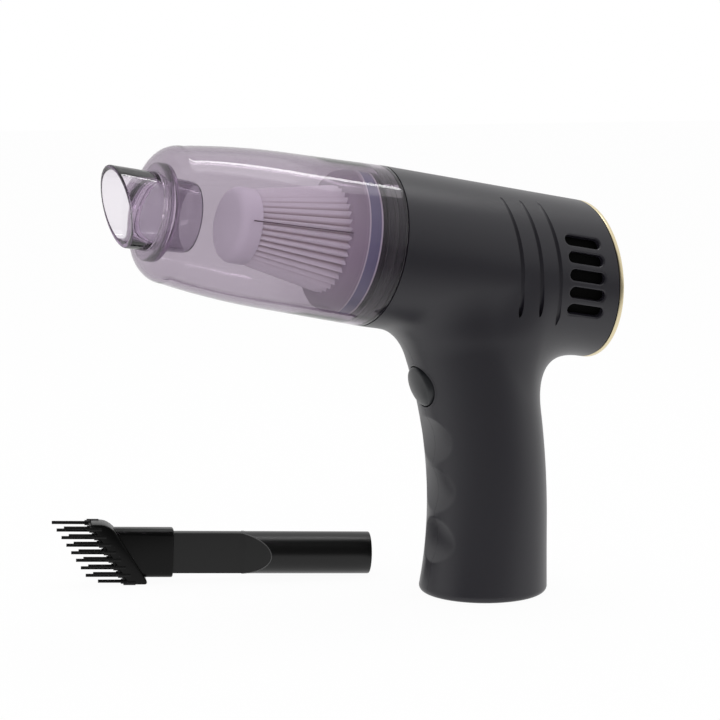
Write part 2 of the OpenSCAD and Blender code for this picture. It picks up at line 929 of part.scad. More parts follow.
module motor_rotor() {
    rotor_from = -can_s - can_len + rotor_setback;
    color([0.6, 0.45, 0.3])
        barrel_frame() {
            rod(shaft_r, -endcap_s - endcap_t - shaft_tail, -shroud_s - shroud_t - fan_gap);
            rod(rotor_r, rotor_from, -can_s - can_wall - bush_len - fan_gap);
            rod(commutator_r, rotor_from - commutator_len, rotor_from + eps);
        }
}

module motor_mount() {
    color([0.15, 0.15, 0.16])
        barrel_frame()
            difference() {
                rod(plug_r, -mount_s - mount_t, -mount_s);
                rod(bush_r + 2 * seat_gap, -mount_s - mount_t - 1, -mount_s + 1);
                for (i = [1 : mount_slots])
                    rotate([0, 0, i * 360 / mount_slots])
                        translate([(plug_r + can_r) / 2, 0, -mount_s - mount_t - 1])
                            cylinder(r = mount_slot_r, h = mount_t + 2);
            }
}

module motor_can() {
    color([0.7, 0.71, 0.73])
        barrel_frame()
            difference() {
                rod(can_r, -can_s - can_len, -can_s);
                rod(can_r - can_wall, -can_s - can_len - 1, -can_s - can_wall);
                rod(bush_r + seat_gap, -can_s - can_wall - 1, 1);
            }
}

module motor_magnets() {
    color([0.25, 0.25, 0.26])
        barrel_frame()
            difference() {
                tube(can_r - can_wall - seat_gap, magnet_in_r, -can_s - can_len + magnet_setback,
                     -can_s - can_wall - bush_len);
                translate([-rotor_r / 4, -can_r, -can_s - can_len])
                    cube([rotor_r / 2, 2 * can_r, can_len]);
            }
}

module motor_endcap() {
    color([0.2, 0.2, 0.22])
        barrel_frame()
            difference() {
                union() {
                    rod(can_r, -endcap_s - endcap_t, -endcap_s);
                    rod(can_r - can_wall - seat_gap, -endcap_s - eps, -endcap_s + endcap_plug);
                }
                rod(bush_r + seat_gap, -endcap_s - endcap_t - 1, -endcap_s + endcap_plug + 1);
            }
}

module bush(from) {
    color([0.75, 0.6, 0.35])
        barrel_frame()
            tube(bush_r, shaft_r + bush_gap, from, from + bush_len);
}

module front_bush() {
    bush(-can_s - can_wall - bush_len / 2);
}

module rear_bush() {
    bush(-endcap_s + endcap_plug - bush_len);
}

module motor_cradle() {
    color([0.15, 0.15, 0.16])
        barrel_frame() {
            tube(can_r + seat_gap + cradle_ring_t, can_r + seat_gap, -cradle_s - cradle_t, -cradle_s);
            for (i = [0 : cradle_spokes - 1])
                rotate([0, 0, (i + 0.5) * 360 / cradle_spokes])
                    translate([can_r + cradle_ring_t / 2, -cradle_ring_t / 2, -cradle_s - cradle_t])
                        cube([plug_r - can_r - cradle_ring_t / 2 - spoke_gap, cradle_ring_t, cradle_t]);
        }
}

// Batteries, board and charge socket

module cell_place(angle) {
    rotate([0, 0, angle])
        translate([cell_circle, 0, 0])
            children();
}

module battery_cell(angle) {
    color([0.2, 0.45, 0.65])
        cell_place(angle) {
            rod(cell_r, cell_z, cell_z + cell_len - nub_h);
            rod(nub_r, cell_z + cell_len - nub_h - eps, cell_z + cell_len);
        }
}

module battery_cell_rear() {
    battery_cell(0);
}

module battery_cell_left() {
    battery_cell(240);
}

module battery_cell_right() {
    battery_cell(120);
}

module cell_pockets(from, to) {
    for (angle = [0, 120, 240])
        cell_place(angle)
            rod(cell_r + cell_fit, from, to);
}

module battery_tray() {
    leg_foot = floor_t + 2 * seat_gap + base_cap_t;
    color([0.1, 0.1, 0.11]) {
        difference() {
            rod(tray_r, cell_z - seat_gap - tray_t, cell_z + tray_rim);
            cell_pockets(cell_z - seat_gap, cell_z + 2 * tray_rim);
        }
        for (side = [-1, 1])
            translate([side * tray_leg_x, 0, 0])
                rod(tray_leg_r, leg_foot, cell_z - seat_gap - tray_t + eps);
    }
}

module battery_cap() {
    color([0.1, 0.1, 0.11])
        difference() {
            rod(tray_r, cell_top - tray_rim, cap_top);
            cell_pockets(cell_top - 2 * tray_rim, cell_top);
            translate([board_x - seat_gap, -board_w / 2 - seat_gap, cap_top - board_slot])
                cube([board_t + 2 * seat_gap, board_w + 2 * seat_gap, 2 * board_slot]);
        }
}

module control_board() {
    color([0.1, 0.35, 0.2]) {
        translate([board_x, -board_w / 2, board_foot])
            cube([board_t, board_w, board_h]);
        translate([board_x - board_t, -board_w / 2 + board_margin, board_foot + chip_up])
            cube([board_t + eps, chip, chip]);
        translate([board_x + eps, board_w / 2 - choke_r - board_margin, board_foot + choke_up])
            rotate([0, -90, 0])
                rod(choke_r, 0, choke_h);
    }
}

module charge_socket() {
    reach = back_x(socket_z) - board_x - board_t - socket_sink;
    color([0.12, 0.12, 0.13])
        translate([board_x + board_t + seat_gap, 0, socket_z])
            rotate([0, 90, 0])
                difference() {
                    rod(socket_r, 0, reach);
                    rod(socket_bore_r, reach - socket_depth, reach + 1);
                }
}

// Crevice tool and brush head

// space on both sides of the blade and of its sloping faces, for a given half thickness
module facet_cuts(half) {
    for (side = [-1, 1])
        translate([0, 0, -tool_r - 1])
            linear_extrude(height = 2 * tool_r + 2)
                polygon([[0, side * half], [facet_start, side * half],
                         [facet_start + (2 * tool_r - half) / facet_rise, side * 2 * tool_r],
                         [0, side * 2 * tool_r]]);
}

module along_tool(radius, from, to) {
    rotate([0, 90, 0])
        rod(radius, from, to);
}

module crevice_tool() {
    color([0.13, 0.13, 0.14])
        tool_frame()
            difference() {
                along_tool(tool_r, blade_tip, tool_len);
                facet_cuts(blade_half);
                difference() {
                    along_tool(tool_bore_r, blade_tip - 1, tool_len + 1);
                    facet_cuts(blade_half - tool_wall);
                }
            }
}

// outline of the slanted frame seen from the side
module frame_outline(front, back, margin) {
    top = frame_h / 2 - margin;
    polygon([[frame_mid() + front - frame_lean * top, top], [frame_mid() + back - frame_lean * top, top],
             [frame_mid() + back + frame_lean * top, -top],
             [frame_mid() + front + frame_lean * top, -top]]);
}

function frame_mid() = (frame_top + frame_bottom) / 2;

// shape seen from the side, drawn through the depth of the brush
module across(depth) {
    translate([0, depth / 2, 0])
        rotate([90, 0, 0])
            linear_extrude(height = depth)
                children();
}

// rounded block along the tool
module sleeve_block(from, to, high, deep, round) {
    translate([from, 0, 0])
        rotate([0, 90, 0])
            linear_extrude(height = to - from) {
                square([high, deep - 2 * round], center = true);
                square([high - 2 * round, deep], center = true);
                for (a = [-1, 1])
                    for (b = [-1, 1])
                        translate([a * (high / 2 - round), b * (deep / 2 - round)])
                            circle(r = round);
            }
}

module brush_head() {
    slot_half = blade_half + sleeve_fit;
    slot_high = 2 * sqrt(tool_r * tool_r - blade_half * blade_half) + 4 * sleeve_fit;
    color([0.06, 0.06, 0.07])
        tool_frame()
            difference() {
                union() {
                    across(frame_d)
                        frame_outline(slice_t + seat_gap, frame_t, 0);
                    difference() {
                        sleeve_block(frame_mid(), sleeve_end, sleeve_h, sleeve_d, sleeve_round);
                        across(2 * frame_d)
                            frame_outline(-frame_h, frame_t / 2, -frame_h);
                    }
                }
                translate([blade_tip - sleeve_fit, -slot_half, -slot_high / 2])
                    cube([tool_len, 2 * slot_half, slot_high]);
                translate([0, -duct_d / 2, -duct_h / 2])
                    cube([tool_len, duct_d, duct_h]);
            }
}

// cross-section of one tuft: strands on a triangular grid
module tuft_outline() {
    for (i = [-tuft_rings : tuft_rings])
        for (j = [-tuft_rings : tuft_rings])
            if (abs(i + j) <= tuft_rings)
                translate([strand_pitch * (i + j / 2), strand_pitch * j * sqrt(3) / 2])
                    circle(r = strand_r, $fn = 3);
}

module brush_bristles() {
    step = (frame_h - 2 * tuft_margin - 2 * slice_margin) / (tuft_count - 1 + row_shift);
    color([0.04, 0.04, 0.04])
        tool_frame() {
            difference() {
                across(frame_d - 2 * slice_margin)
                    frame_outline(0, slice_t, slice_margin);
                translate([0, -duct_d / 2, -duct_h / 2])
                    cube([tool_len, duct_d, duct_h]);
            }
            for (row = [0, 1])
                for (i = [0 : tuft_count - 1]) {
                    z = frame_h / 2 - slice_margin - tuft_margin - (i + row * row_shift) * step;
                    root = frame_mid() - frame_lean * z;
                    length = row == 0 ? long_tuft : short_tuft;
                    translate([root - length, (0.5 - row) * row_gap, z])
                        rotate([0, 90, 0])
                            linear_extrude(height = length + slice_t / 2)
                                tuft_outline();
                }
        }
}

body_shell_left();
body_shell_right();
base_cap();
front_spigot();
cup_seal();
rear_trim_ring();
rear_cover();
casing_screws();
button_bezel();
power_button();
switch_body();
dust_cup();
inlet_nozzle();
nozzle_seal();
filter_frame();
filter_pleats();
filter_gasket();
fan_shroud();
impeller();
motor_rotor();
motor_mount();
motor_can();
motor_magnets();
motor_endcap();
front_bush();
rear_bush();
motor_cradle();
battery_cell_rear();
battery_cell_left();
battery_cell_right();
battery_tray();
battery_cap();
control_board();
charge_socket();
crevice_tool();
brush_head();
brush_bristles();
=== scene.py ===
import json
import math

import bmesh
import bpy
import numpy as np
from mathutils import Matrix, Vector


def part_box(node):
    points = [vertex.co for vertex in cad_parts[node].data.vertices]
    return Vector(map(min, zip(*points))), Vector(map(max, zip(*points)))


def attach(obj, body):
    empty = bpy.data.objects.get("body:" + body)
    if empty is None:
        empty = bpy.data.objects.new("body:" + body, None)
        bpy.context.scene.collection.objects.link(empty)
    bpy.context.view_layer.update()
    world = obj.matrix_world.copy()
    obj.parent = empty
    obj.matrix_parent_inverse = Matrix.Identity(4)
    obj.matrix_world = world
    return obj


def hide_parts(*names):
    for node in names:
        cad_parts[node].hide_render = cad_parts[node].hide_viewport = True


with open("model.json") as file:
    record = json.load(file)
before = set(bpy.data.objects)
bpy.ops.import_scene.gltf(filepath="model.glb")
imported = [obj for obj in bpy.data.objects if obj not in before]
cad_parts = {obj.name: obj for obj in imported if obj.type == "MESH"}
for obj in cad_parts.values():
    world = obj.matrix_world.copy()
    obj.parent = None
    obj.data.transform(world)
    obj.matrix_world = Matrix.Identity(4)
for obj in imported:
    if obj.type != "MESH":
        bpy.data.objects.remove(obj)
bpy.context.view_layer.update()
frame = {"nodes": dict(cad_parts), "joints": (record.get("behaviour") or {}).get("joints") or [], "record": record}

MM = 0.001

# Frame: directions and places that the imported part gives

joints = {joint["name"]: joint for joint in frame["joints"]}
slot_of = {part["node"]: part["material_slot"] for part in frame["record"]["subparts"]}
SIDE = Vector((0, 1, 0))
FORWARD = Vector(joints["cup_pull"]["axis"]).normalized()
UP = SIDE.cross(FORWARD)
PRESS = Vector(joints["button_press"]["axis"]).normalized()
TOOL_X = -Vector(joints["brush_pull"]["axis"]).normalized()
TOOL_Y = Vector((0, 0, 1)).cross(TOOL_X).normalized()
FAN_SETBACK = 20.0
SEAM = Vector(joints["fan_spin"]["pos_m"]) / MM + FORWARD * FAN_SETBACK
BARREL_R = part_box("body_shell_right")[1][1] / MM

# Clearances and casing, in millimetres

SLIP = 0.3
SEAT = 0.05
BARREL_LEN = 102.8
REAR_LEAN = math.radians(12)
WALL = 2.4
PARTING = 0.1
WAIST_Z = 38.0
WAIST_FRONT = 24.3
FRONT_SWEEP = 185.0
GRIP_BACK = 26.8
BACK_BEND_Z = 30.0
BACK_SWEEP = 316.0
BASE_ROUND = 2.5
GRIP_TOP = 128.0
GRIP_TOP_ROUND = 18.0
FRONT_BLEND = 12.0
REAR_BLEND = 26.0
BLEND_HALF_RUN = 12.0
SKIN_VOXEL = 1.7
SKIN_OVER = 8.0
REFINE_BANDS = (1.8, 1.2)
BASE_CAP_R = 22.0
CHARGE_Z = 85.45
CHARGE_R = 3.5
CHARGE_INNER_X = 12.0

# Finger scoops, grooves and vents

SCOOP_HEIGHTS = [25.4, 44.8, 64.0]
SCOOP_DEPTH = 2.0
SCOOP_HALF_WIDTH = 12.2
SCOOP_HALF_HEIGHT = 9.0
SCOOP_SOFT = 0.25
GROOVE_START = 53.6
GROOVE_PITCH = 9.3
GROOVE_LIFTS = [0.0, 0.0, math.radians(4.8)]
GROOVE_LEAN = math.radians(12.9)
GROOVE_MID = math.radians(8.3)
GROOVE_SPAN = math.radians(45.8)
GROOVE_RUNOUT = math.radians(6)
GROOVE_DEPTH = 0.9
GROOVE_TUBE = 1.6
GROOVE_STEEP = 3.0
GROOVE_POINT = 0.14
VENTS = 5
VENT_LEN = 17.2
VENT_WIDTH = 4.6
VENT_STEP = math.radians(12.7)
VENT_MID = math.radians(2.1)
VENT_SETBACK = 16.5
VENT_FLARE = 0.8
VENT_OUTSIDE = 2.0
SLEEVE_GAP = 1.2
SLEEVE_WALL = 1.0
SLEEVE_SETBACK = 4.0
SLEEVE_LEN = 28.0

# Screws and the rear ring

SCREW_RECESS_R = 3.0
BARREL_SCREWS = [46.0, 84.0]
BARREL_SCREW_UP = 25.0
BARREL_SEAT_Y = 12.0
GRIP_SCREWS = [(0.0, 8.2), (2.0, 101.0)]
GRIP_SEAT_Y = 15.0
BOSS_BORE = 1.7
BOSS_R = 3.6
BOSS_BELOW = 3.0
BOSS_ABOVE = 5.0
TRIM_T = 1.9
TRIM_ROUND = 0.35
RIM_GAP = 0.5
TRIM_SETBACK = 0.9

# Button

BUTTON_Z = 89.5
BUTTON_R = 8.7
BUTTON_PROUD = 2.3
BUTTON_CROWN = 24.0
BUTTON_ROUND = 1.1
CROWN_MARGIN = 1.2
BUTTON_FOOT_R = 9.3
BUTTON_FOOT_T = 1.6
STEM_R = 1.8
STEM_REACH = 2.6
BEZEL_R = 10.1
BEZEL_LEN = 9.0
BEZEL_STEP = 3.0
BEZEL_ROUND = 0.25

# Dust cup, spigot and nozzle; s runs forward from the seam

CUP_LEN = 98.0
CUP_WALL = 2.0
CUP_TAPER = 0.035
CUP_STRAIGHT = 45.0
CUP_SWEEP = 330.0
CUP_SHOULDER = 10.0
CUP_SEAT_R = 29.9
CUP_STEP = 0.8
CUP_LINE_S = 1.9
CUP_LINE_W = 0.7
CUP_LINE_DEPTH = 0.15
CUP_LINE_EASE = 0.1
SPIGOT_LEN = 8.0
SPIGOT_ROOT = -8.0
SPIGOT_R = CUP_SEAT_R + CUP_STEP - SLIP
SPIGOT_BORE = SPIGOT_R - 3.0
SEAL_GROOVE_S = SPIGOT_LEN / 2 + 0.55
SEAL_GROOVE_HALF = 1.2
SEAL_GROOVE_DEPTH = 2.05
PLATE_T = 2.5
PLATE_HOLES = 8
PLATE_HOLE_AT = 0.62 * SPIGOT_BORE
PLATE_HOLE_R = 0.21 * SPIGOT_BORE
NOZZLE_R = 15.4
NOZZLE_WALL = 1.9
NOZZLE_BORE = NOZZLE_R - NOZZLE_WALL
NOZZLE_ROOT = CUP_LEN + 0.4
MOUTH_S = 111.0
MOUTH_SLANT = math.radians(20)
STUB_R = 14.2
STUB_BORE = STUB_R - NOZZLE_WALL
STUB_S = 81.0
FLANGE_R = 19.0
FLANGE_T = 1.8
SEAL_T = 0.9
SEAL_REST = 0.1

# Filter

PLEATS = 38
PLEAT_POINTS = 12
PLEAT_FOLD = 0.16
PLEAT_SHARPNESS = 0.97
PAPER_T = 0.5
PLEAT_REAR_S = 19.8
PLEAT_REAR_R = 22.4
PLEAT_FRONT_S = 55.6
PLEAT_FRONT_R = 15.3
PLEAT_RUN = PLEAT_FRONT_S - PLEAT_REAR_S
NOSE_S = 64.6
NOSE_ROUND = 4.0
COLLAR_R = SPIGOT_BORE - SLIP
COLLAR_BORE = COLLAR_R - 1.8
COLLAR_END = 2.5
FILTER_RIM = CUP_SEAT_R - SLIP
GASKET_T = 2.0
FILTER_BACK = SPIGOT_LEN + SLIP + GASKET_T + 0.1
LIP_W = 0.65
BAND_END = 15.8
BAND_BED = 0.5
BAND_DROP = 0.15
BAND_GAP = 0.02
FILTER_FRONT = 17.6
RIBS = 6
RIB_R = 1.0
RIB_INSET = 2.0
RIB_REAR_R = PLEAT_REAR_R * (1 - PLEAT_FOLD) - PAPER_T - RIB_INSET
RIB_FRONT_R = PLEAT_FRONT_R * (1 - PLEAT_FOLD) - PAPER_T - RIB_INSET
RIB_LEAN = math.atan((RIB_REAR_R - RIB_FRONT_R) / PLEAT_RUN)
JOINT_TURN = math.radians(-80)
JOINT_R = 0.25
JOINT_PROUD = 0.15
JOINT_OVER_REAR = 4.5
JOINT_OVER_FRONT = 5.0

# Crevice tool and brush

TOOL_AT = (-163.4, 91.1, 14.852)
TOOL_LEN = 140.0
TOOL_R = 9.2
TOOL_WALL = 1.3
TOOL_END_ROUND = [(0.15, 0.12), (0.0, 0.45)]
BLADE_HALF = 2.6
BLADE_TIP = 40.0
FACET_END = 95.7
FACET_RISE = 0.55
FACET_START = FACET_END - (TOOL_R - BLADE_HALF) / FACET_RISE
FACET_SOFT = 1.0
FACET_EDGE_SOFT = 0.15
RIM_BEAD_R = 0.2
FRAME_H = 26.2
FRAME_D = 12.5
FRAME_T = 9.8
FRAME_TOP = 16.6
FRAME_BOTTOM = 33.6
FRAME_MID = (FRAME_TOP + FRAME_BOTTOM) / 2
FRAME_LEAN = (FRAME_BOTTOM - FRAME_TOP) / FRAME_H
FRAME_HIGH_ROUND = 4.0
FRAME_LOW_ROUND = 2.0
FRAME_EDGE_ROUND = 0.7
SOCKET_H = 21.3
SOCKET_D = 9.4
SOCKET_START = FRAME_MID + 2.0
SOCKET_END = 53.7
SOCKET_ROUND = 3.0
SLOT_OVER = 9.0
SLOT_HALF_H = 9.4
DUCT_HALF_H = 7.0
DUCT_HALF_D = 1.5
SLICE_T = 1.2
SLICE_MARGIN = 0.6
TUFTS = 8
TUFT_EDGE = 0.9
ROW_SHIFT = 0.35
ROW_GAP = 6.0
LONG_TUFT = 15.6
SHORT_TUFT = 11.4
TUFT_SEAT_R = 1.15
TUFT_SEAT_SINK = 0.6
TUFT_SEAT_PROUD = 1.6
RIDGE_R = 1.2
RIDGE_SINK = 4.5
RIDGE_PROUD = 0.6
RIDGE_OUT = 2.3
STRAND_START = 1.0
STRAND_GAP = 0.29
STRAND_ROOT_R = 0.16
STRAND_TIP_R = 0.14

# Steps of turned shapes, roundings of small edges, and the distance that counts as touching

TURN_STEPS = 128
HAIR = 0.1
CRISP = 0.2
FINE = 0.3
EASED = 0.4
SOFT = 0.5
FULL = 0.6
TOUCH = 1e-4


def place(origin, x, y, z):
    """Matrix from local millimetres to metres in the row frame."""
    turn = Matrix((x, y, z)).transposed().to_4x4()
    return Matrix.Translation(Vector(origin) * MM) @ turn @ Matrix.Scale(MM, 4)


def to_row(where):
    """Local frame in millimetres of the row frame."""
    return Matrix.Scale(1 / MM, 4) @ where


def grip_front(z):
    return -WAIST_FRONT - (z - WAIST_Z) ** 2 / (2 * FRONT_SWEEP)


def grip_rear(z):
    return GRIP_BACK - np.maximum(z - BACK_BEND_Z, 0) ** 2 / (2 * BACK_SWEEP)


def cup_r(s):
    return BARREL_R - CUP_TAPER * s - max(s - CUP_STRAIGHT, 0) ** 2 / (2 * CUP_SWEEP)


ROW = Matrix.Scale(MM, 4)
BARREL = place(SEAM, UP, SIDE, FORWARD)
BUTTON = place((grip_front(BUTTON_Z), 0, BUTTON_Z), PRESS.cross(SIDE), SIDE, -PRESS)
TOOL = place(TOOL_AT, TOOL_X, TOOL_Y, TOOL_X.cross(TOOL_Y))

# Materials


def math_node(nodes, operation, second=0.5, third=0.5, clamp=False):
    made = nodes.new("ShaderNodeMath")
    made.operation = operation
    made.use_clamp = clamp
    made.inputs[1].default_value = second
    made.inputs[2].default_value = third
    return made


def colour_ramp(nodes, *stops, smooth=False):
    """Colour ramp with a first and a last stop of (position, colour)."""
    made = nodes.new("ShaderNodeValToRGB")
    if smooth:
        made.color_ramp.interpolation = "EASE"
    for element, (position, colour) in zip(made.color_ramp.elements, stops):
        element.position = position
        element.color = (*colour, 1)
    return made


def grey(level):
    return (level, level, level)


def new_material(name):
    made = bpy.data.materials.new(name)
    made.use_nodes = True
    return made, made.node_tree.nodes, made.node_tree.links.new


def node_group(name, inputs, outputs):
    group = bpy.data.node_groups.new(name, "ShaderNodeTree")
    for label, value in inputs:
        socket = group.interface.new_socket(label, in_out="INPUT", socket_type="NodeSocketFloat")
        socket.default_value = value
    for label in outputs:
        group.interface.new_socket(label, in_out="OUTPUT", socket_type="NodeSocketFloat")
    return group, group.nodes.new("NodeGroupInput"), group.nodes.new("NodeGroupOutput")


def surface_group():
    """Fine moulded grain as a height, and broad handling marks as a factor round one."""
    inputs = [("Grain Scale", 1500.0), ("Mark Scale", 40.0), ("Marks", 0.15)]
    group, given, result = node_group("moulded_surface", inputs, ["Height", "Marks"])
    nodes, link = group.nodes, group.links.new
    coords = nodes.new("ShaderNodeTexCoord")
    grain = nodes.new("ShaderNodeTexNoise")
    grain.inputs["Detail"].default_value = 2.0
    marks = nodes.new("ShaderNodeTexNoise")
    marks.inputs["Detail"].default_value = 4.0
    spread = math_node(nodes, "SUBTRACT", 0.5)
    scaled = math_node(nodes, "MULTIPLY_ADD", third=1.0)
    link(coords.outputs["Object"], grain.inputs["Vector"])
    link(coords.outputs["Object"], marks.inputs["Vector"])
    link(given.outputs["Grain Scale"], grain.inputs["Scale"])
    link(given.outputs["Mark Scale"], marks.inputs["Scale"])
    link(marks.outputs["Fac"], spread.inputs[0])
    link(spread.outputs[0], scaled.inputs[0])
    link(given.outputs["Marks"], scaled.inputs[1])
    link(grain.outputs["Fac"], result.inputs["Height"])
    link(scaled.outputs[0], result.inputs["Marks"])
    return group


SURFACE = surface_group()
GRAIN_HEIGHT = 0.0002
# Fold depth where the painted shade in the folds begins
FOLD_SHADE_START = 0.45


def paint_fold_shade(nodes, link, shader, ridge, fold_shade):
    """Painted shade in a fold: the colour darkens from the ridge to the bottom of the fold."""
    fold = nodes.new("ShaderNodeAttribute")
    fold.attribute_name = "fold"
    tone = colour_ramp(nodes, (FOLD_SHADE_START, ridge), (1.0, fold_shade))
    link(fold.outputs["Fac"], tone.inputs["Fac"])
    link(tone.outputs["Color"], shader.inputs["Base Color"])


def material(name, colour, roughness, metallic=0.0, specular=0.5, grain=1500.0, bump=0.0, marks=0.15,
             fold_shade=None):
    """Opaque material with moulded grain and handling marks; the last argument is the colour of painted shade at
    the bottom of folds.
    """
    made, nodes, link = new_material(name)
    shader = nodes["Principled BSDF"]
    shader.inputs["Base Color"].default_value = (*colour, 1)
    shader.inputs["Metallic"].default_value = metallic
    shader.inputs["Specular IOR Level"].default_value = specular
    surface = nodes.new("ShaderNodeGroup")
    surface.node_tree = SURFACE
    surface.inputs["Grain Scale"].default_value = grain
    surface.inputs["Marks"].default_value = marks
    rough = math_node(nodes, "MULTIPLY", roughness)
    link(surface.outputs["Marks"], rough.inputs[0])
    link(rough.outputs[0], shader.inputs["Roughness"])
    if fold_shade:
        paint_fold_shade(nodes, link, shader, colour, fold_shade)
    if bump:
        relief = nodes.new("ShaderNodeBump")
        relief.inputs["Strength"].default_value = bump
        relief.inputs["Distance"].default_value = GRAIN_HEIGHT
        link(surface.outputs["Height"], relief.inputs["Height"])
        link(relief.outputs["Normal"], shader.inputs["Normal"])
    return made


def clear_material(name, colour, ior=1.47, roughness=0.02, density=1000.0):
    """Tinted clear plastic that lets lamp light through."""
    made, nodes, link = new_material(name)
    shader, out = nodes["Principled BSDF"], nodes["Material Output"]
    shader.inputs["Base Color"].default_value = (1, 1, 1, 1)
    shader.inputs["Roughness"].default_value = roughness
    shader.inputs["IOR"].default_value = ior
    shader.inputs["Transmission Weight"].default_value = 1.0
    path = nodes.new("ShaderNodeLightPath")
    passing = nodes.new("ShaderNodeBsdfTransparent")
    passing.inputs["Color"].default_value = (1, 1, 1, 1)
    mix = nodes.new("ShaderNodeMixShader")
    link(path.outputs["Is Shadow Ray"], mix.inputs[0])
    link(shader.outputs[0], mix.inputs[1])
    link(passing.outputs[0], mix.inputs[2])
    link(mix.outputs[0], out.inputs["Surface"])
    volume = nodes.new("ShaderNodeVolumeAbsorption")
    volume.inputs["Color"].default_value = (*colour, 1)
    volume.inputs["Density"].default_value = density
    link(volume.outputs[0], out.inputs["Volume"])
    return made


LOOK = {
    "casing": material("soft_touch_black", (0.011, 0.01, 0.0145), 0.36, grain=2600, bump=0.1, marks=0.12),
    "black_plastic": material("moulded_black", (0.012, 0.012, 0.013), 0.42, bump=0.08),
    "gloss_black": material("polished_black", (0.001, 0.001, 0.001), 0.3, specular=0.18, marks=0.2),
    # The white plastic is darkened from the nose's white as painted shade on the filter flange
    "white_plastic": material("white_moulding_painted_shade", (0.52, 0.46, 0.53), 0.45),
    # The pleated paper is darkened towards the bottom of each fold as painted shade
    "filter_paper": material("pleated_paper", (0.92, 0.89, 0.92), 0.85, grain=900, bump=0.25,
                             fold_shade=(0.42, 0.33, 0.34)),
    "seal_rubber": material("black_rubber", (0.012, 0.012, 0.014), 0.6),
    "gold_trim": material("gold_trim", (0.78, 0.68, 0.45), 0.3, metallic=1.0, marks=0.2),
    "steel": material("plain_steel", (0.55, 0.55, 0.57), 0.35, metallic=1.0),
    "magnet": material("sintered_magnet", (0.07, 0.07, 0.07), 0.6),
    "bush_brass": material("sintered_brass", (0.7, 0.52, 0.28), 0.4, metallic=1.0),
    "cell_wrap": material("cell_sleeve", (0.03, 0.12, 0.28), 0.35),
    "board_green": material("board_lacquer", (0.01, 0.09, 0.03), 0.35),
    "tool_black": material("satin_black", (0.003, 0.003, 0.003), 0.3, specular=0.35, grain=1800, bump=0.03),
    "bristle_black": material("black_filament", (0.002, 0.002, 0.002), 0.5, specular=0.25),
    "smoke_clear": clear_material("smoky_violet_clear", (0.805, 0.77, 0.81)),
}
BAND_LOOK = material("lilac_band", (0.27, 0.28, 0.42), 0.5)
NOSE_LOOK = material("bright_nose", (0.84, 0.8, 0.86), 0.45)
LIP_LOOK = material("bright_lip", (0.88, 0.87, 0.9), 0.4)
# Grey much lighter than the tool, a painted highlight along the facet edges
RIM_HIGHLIGHT_LOOK = material("painted_highlight_rim", (0.06, 0.06, 0.06), 0.3)
JOINT_LOOK = material("brown_joint", (0.16, 0.12, 0.14), 0.7)
SPIGOT_LOOK = material("dark_spigot", (0.005, 0.005, 0.009), 0.4, specular=0.3)
BUTTON_LOOK = material("satin_button", (0.012, 0.013, 0.015), 0.36, marks=0.1)
# Near-black, hardly reflecting: painted shade inside the casing behind the vents
SHADE_LOOK = material("foam_in_painted_shade", (0.002, 0.002, 0.002), 0.9, specular=0.1)
NOZZLE_LOOK = clear_material("pale_violet_clear", (0.94, 0.92, 0.945))
STUB_LOOK = clear_material("deep_violet_clear", (0.71, 0.67, 0.73))
SEAL_LOOK = clear_material("violet_seal", (0.74, 0.69, 0.76), 1.41, 0.05)

# Building


def piece(name, bm, where, body, slot, nodes=(), look=None, angle=32):
    """Puts a working mesh in its place as a piece that rides a body."""
    bm.transform(where)
    bmesh.ops.recalc_face_normals(bm, faces=bm.faces[:])
    mesh = bpy.data.meshes.new(name)
    bm.to_mesh(mesh)
    bm.free()
    mesh.materials.append(look or LOOK[slot])
    mesh.shade_smooth()
    mesh.set_sharp_from_angle(angle=math.radians(angle))
    made = bpy.data.objects.new(name, mesh)
    bpy.context.scene.collection.objects.link(made)
    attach(made, body)
    if nodes:
        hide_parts(*nodes)


def rounded(bm, geom, offset, segments, affect="EDGES"):
    bmesh.ops.bevel(bm, geom=geom, offset=offset, offset_type="OFFSET", segments=segments, profile=0.5,
                    affect=affect, material=-1)


def trimmed(bm, point, normal):
    """Cuts a working mesh at a plane and drops what is ahead of it."""
    parts = bm.verts[:] + bm.edges[:] + bm.faces[:]
    bmesh.ops.bisect_plane(bm, geom=parts, plane_co=point, plane_no=normal, dist=TOUCH, clear_outer=True)
    return bm


def each_once(groups):
    """Members of some groups, each once and in order."""
    return list(dict.fromkeys(member for group in groups for member in group))


def lathe(outline, closed=True, steps=TURN_STEPS):
    """Turns an outline of (along, radius, rounding) points about the local Z axis."""
    bm = bmesh.new()
    made = [bm.verts.new((r, 0, s)) for s, r, *_ in outline]
    for pair in zip(made, made[1:] + made[:1] if closed else made[1:]):
        bm.edges.new(pair)
    for vert, (_, _, *rounding) in zip(made, outline):
        if rounding:
            rounded(bm, [vert], rounding[0], 4, "VERTICES")
    bmesh.ops.spin(bm, geom=bm.verts[:] + bm.edges[:], cent=(0, 0, 0), axis=(0, 0, 1), angle=2 * math.pi,
                   steps=steps, use_merge=True)
    bmesh.ops.remove_doubles(bm, verts=bm.verts[:], dist=TOUCH)
    bmesh.ops.recalc_face_normals(bm, faces=bm.faces[:])
    return bm


def joined(*meshes):
    """Several working meshes as one."""
    bm = bmesh.new()
    for other in meshes:
        held = bpy.data.meshes.new("held")
        other.to_mesh(held)
        other.free()
        bm.from_mesh(held)
        bpy.data.meshes.remove(held)
    return bm


def loft(bm, rings, caps=True):
    """Skins rings of points that have the same count."""
    loops = []
    for ring in rings:
        verts = bmesh.ops.create_circle(bm, cap_ends=False, segments=len(ring), radius=1)["verts"]
        for vert, point in zip(verts, ring):
            vert.co = point
        loops.append(each_once(vert.link_edges for vert in verts))
    for one, other in zip(loops, loops[1:]):
        bmesh.ops.bridge_loops(bm, edges=one + other)
    if caps:
        bmesh.ops.holes_fill(bm, edges=loops[0] + loops[-1])
    return bm


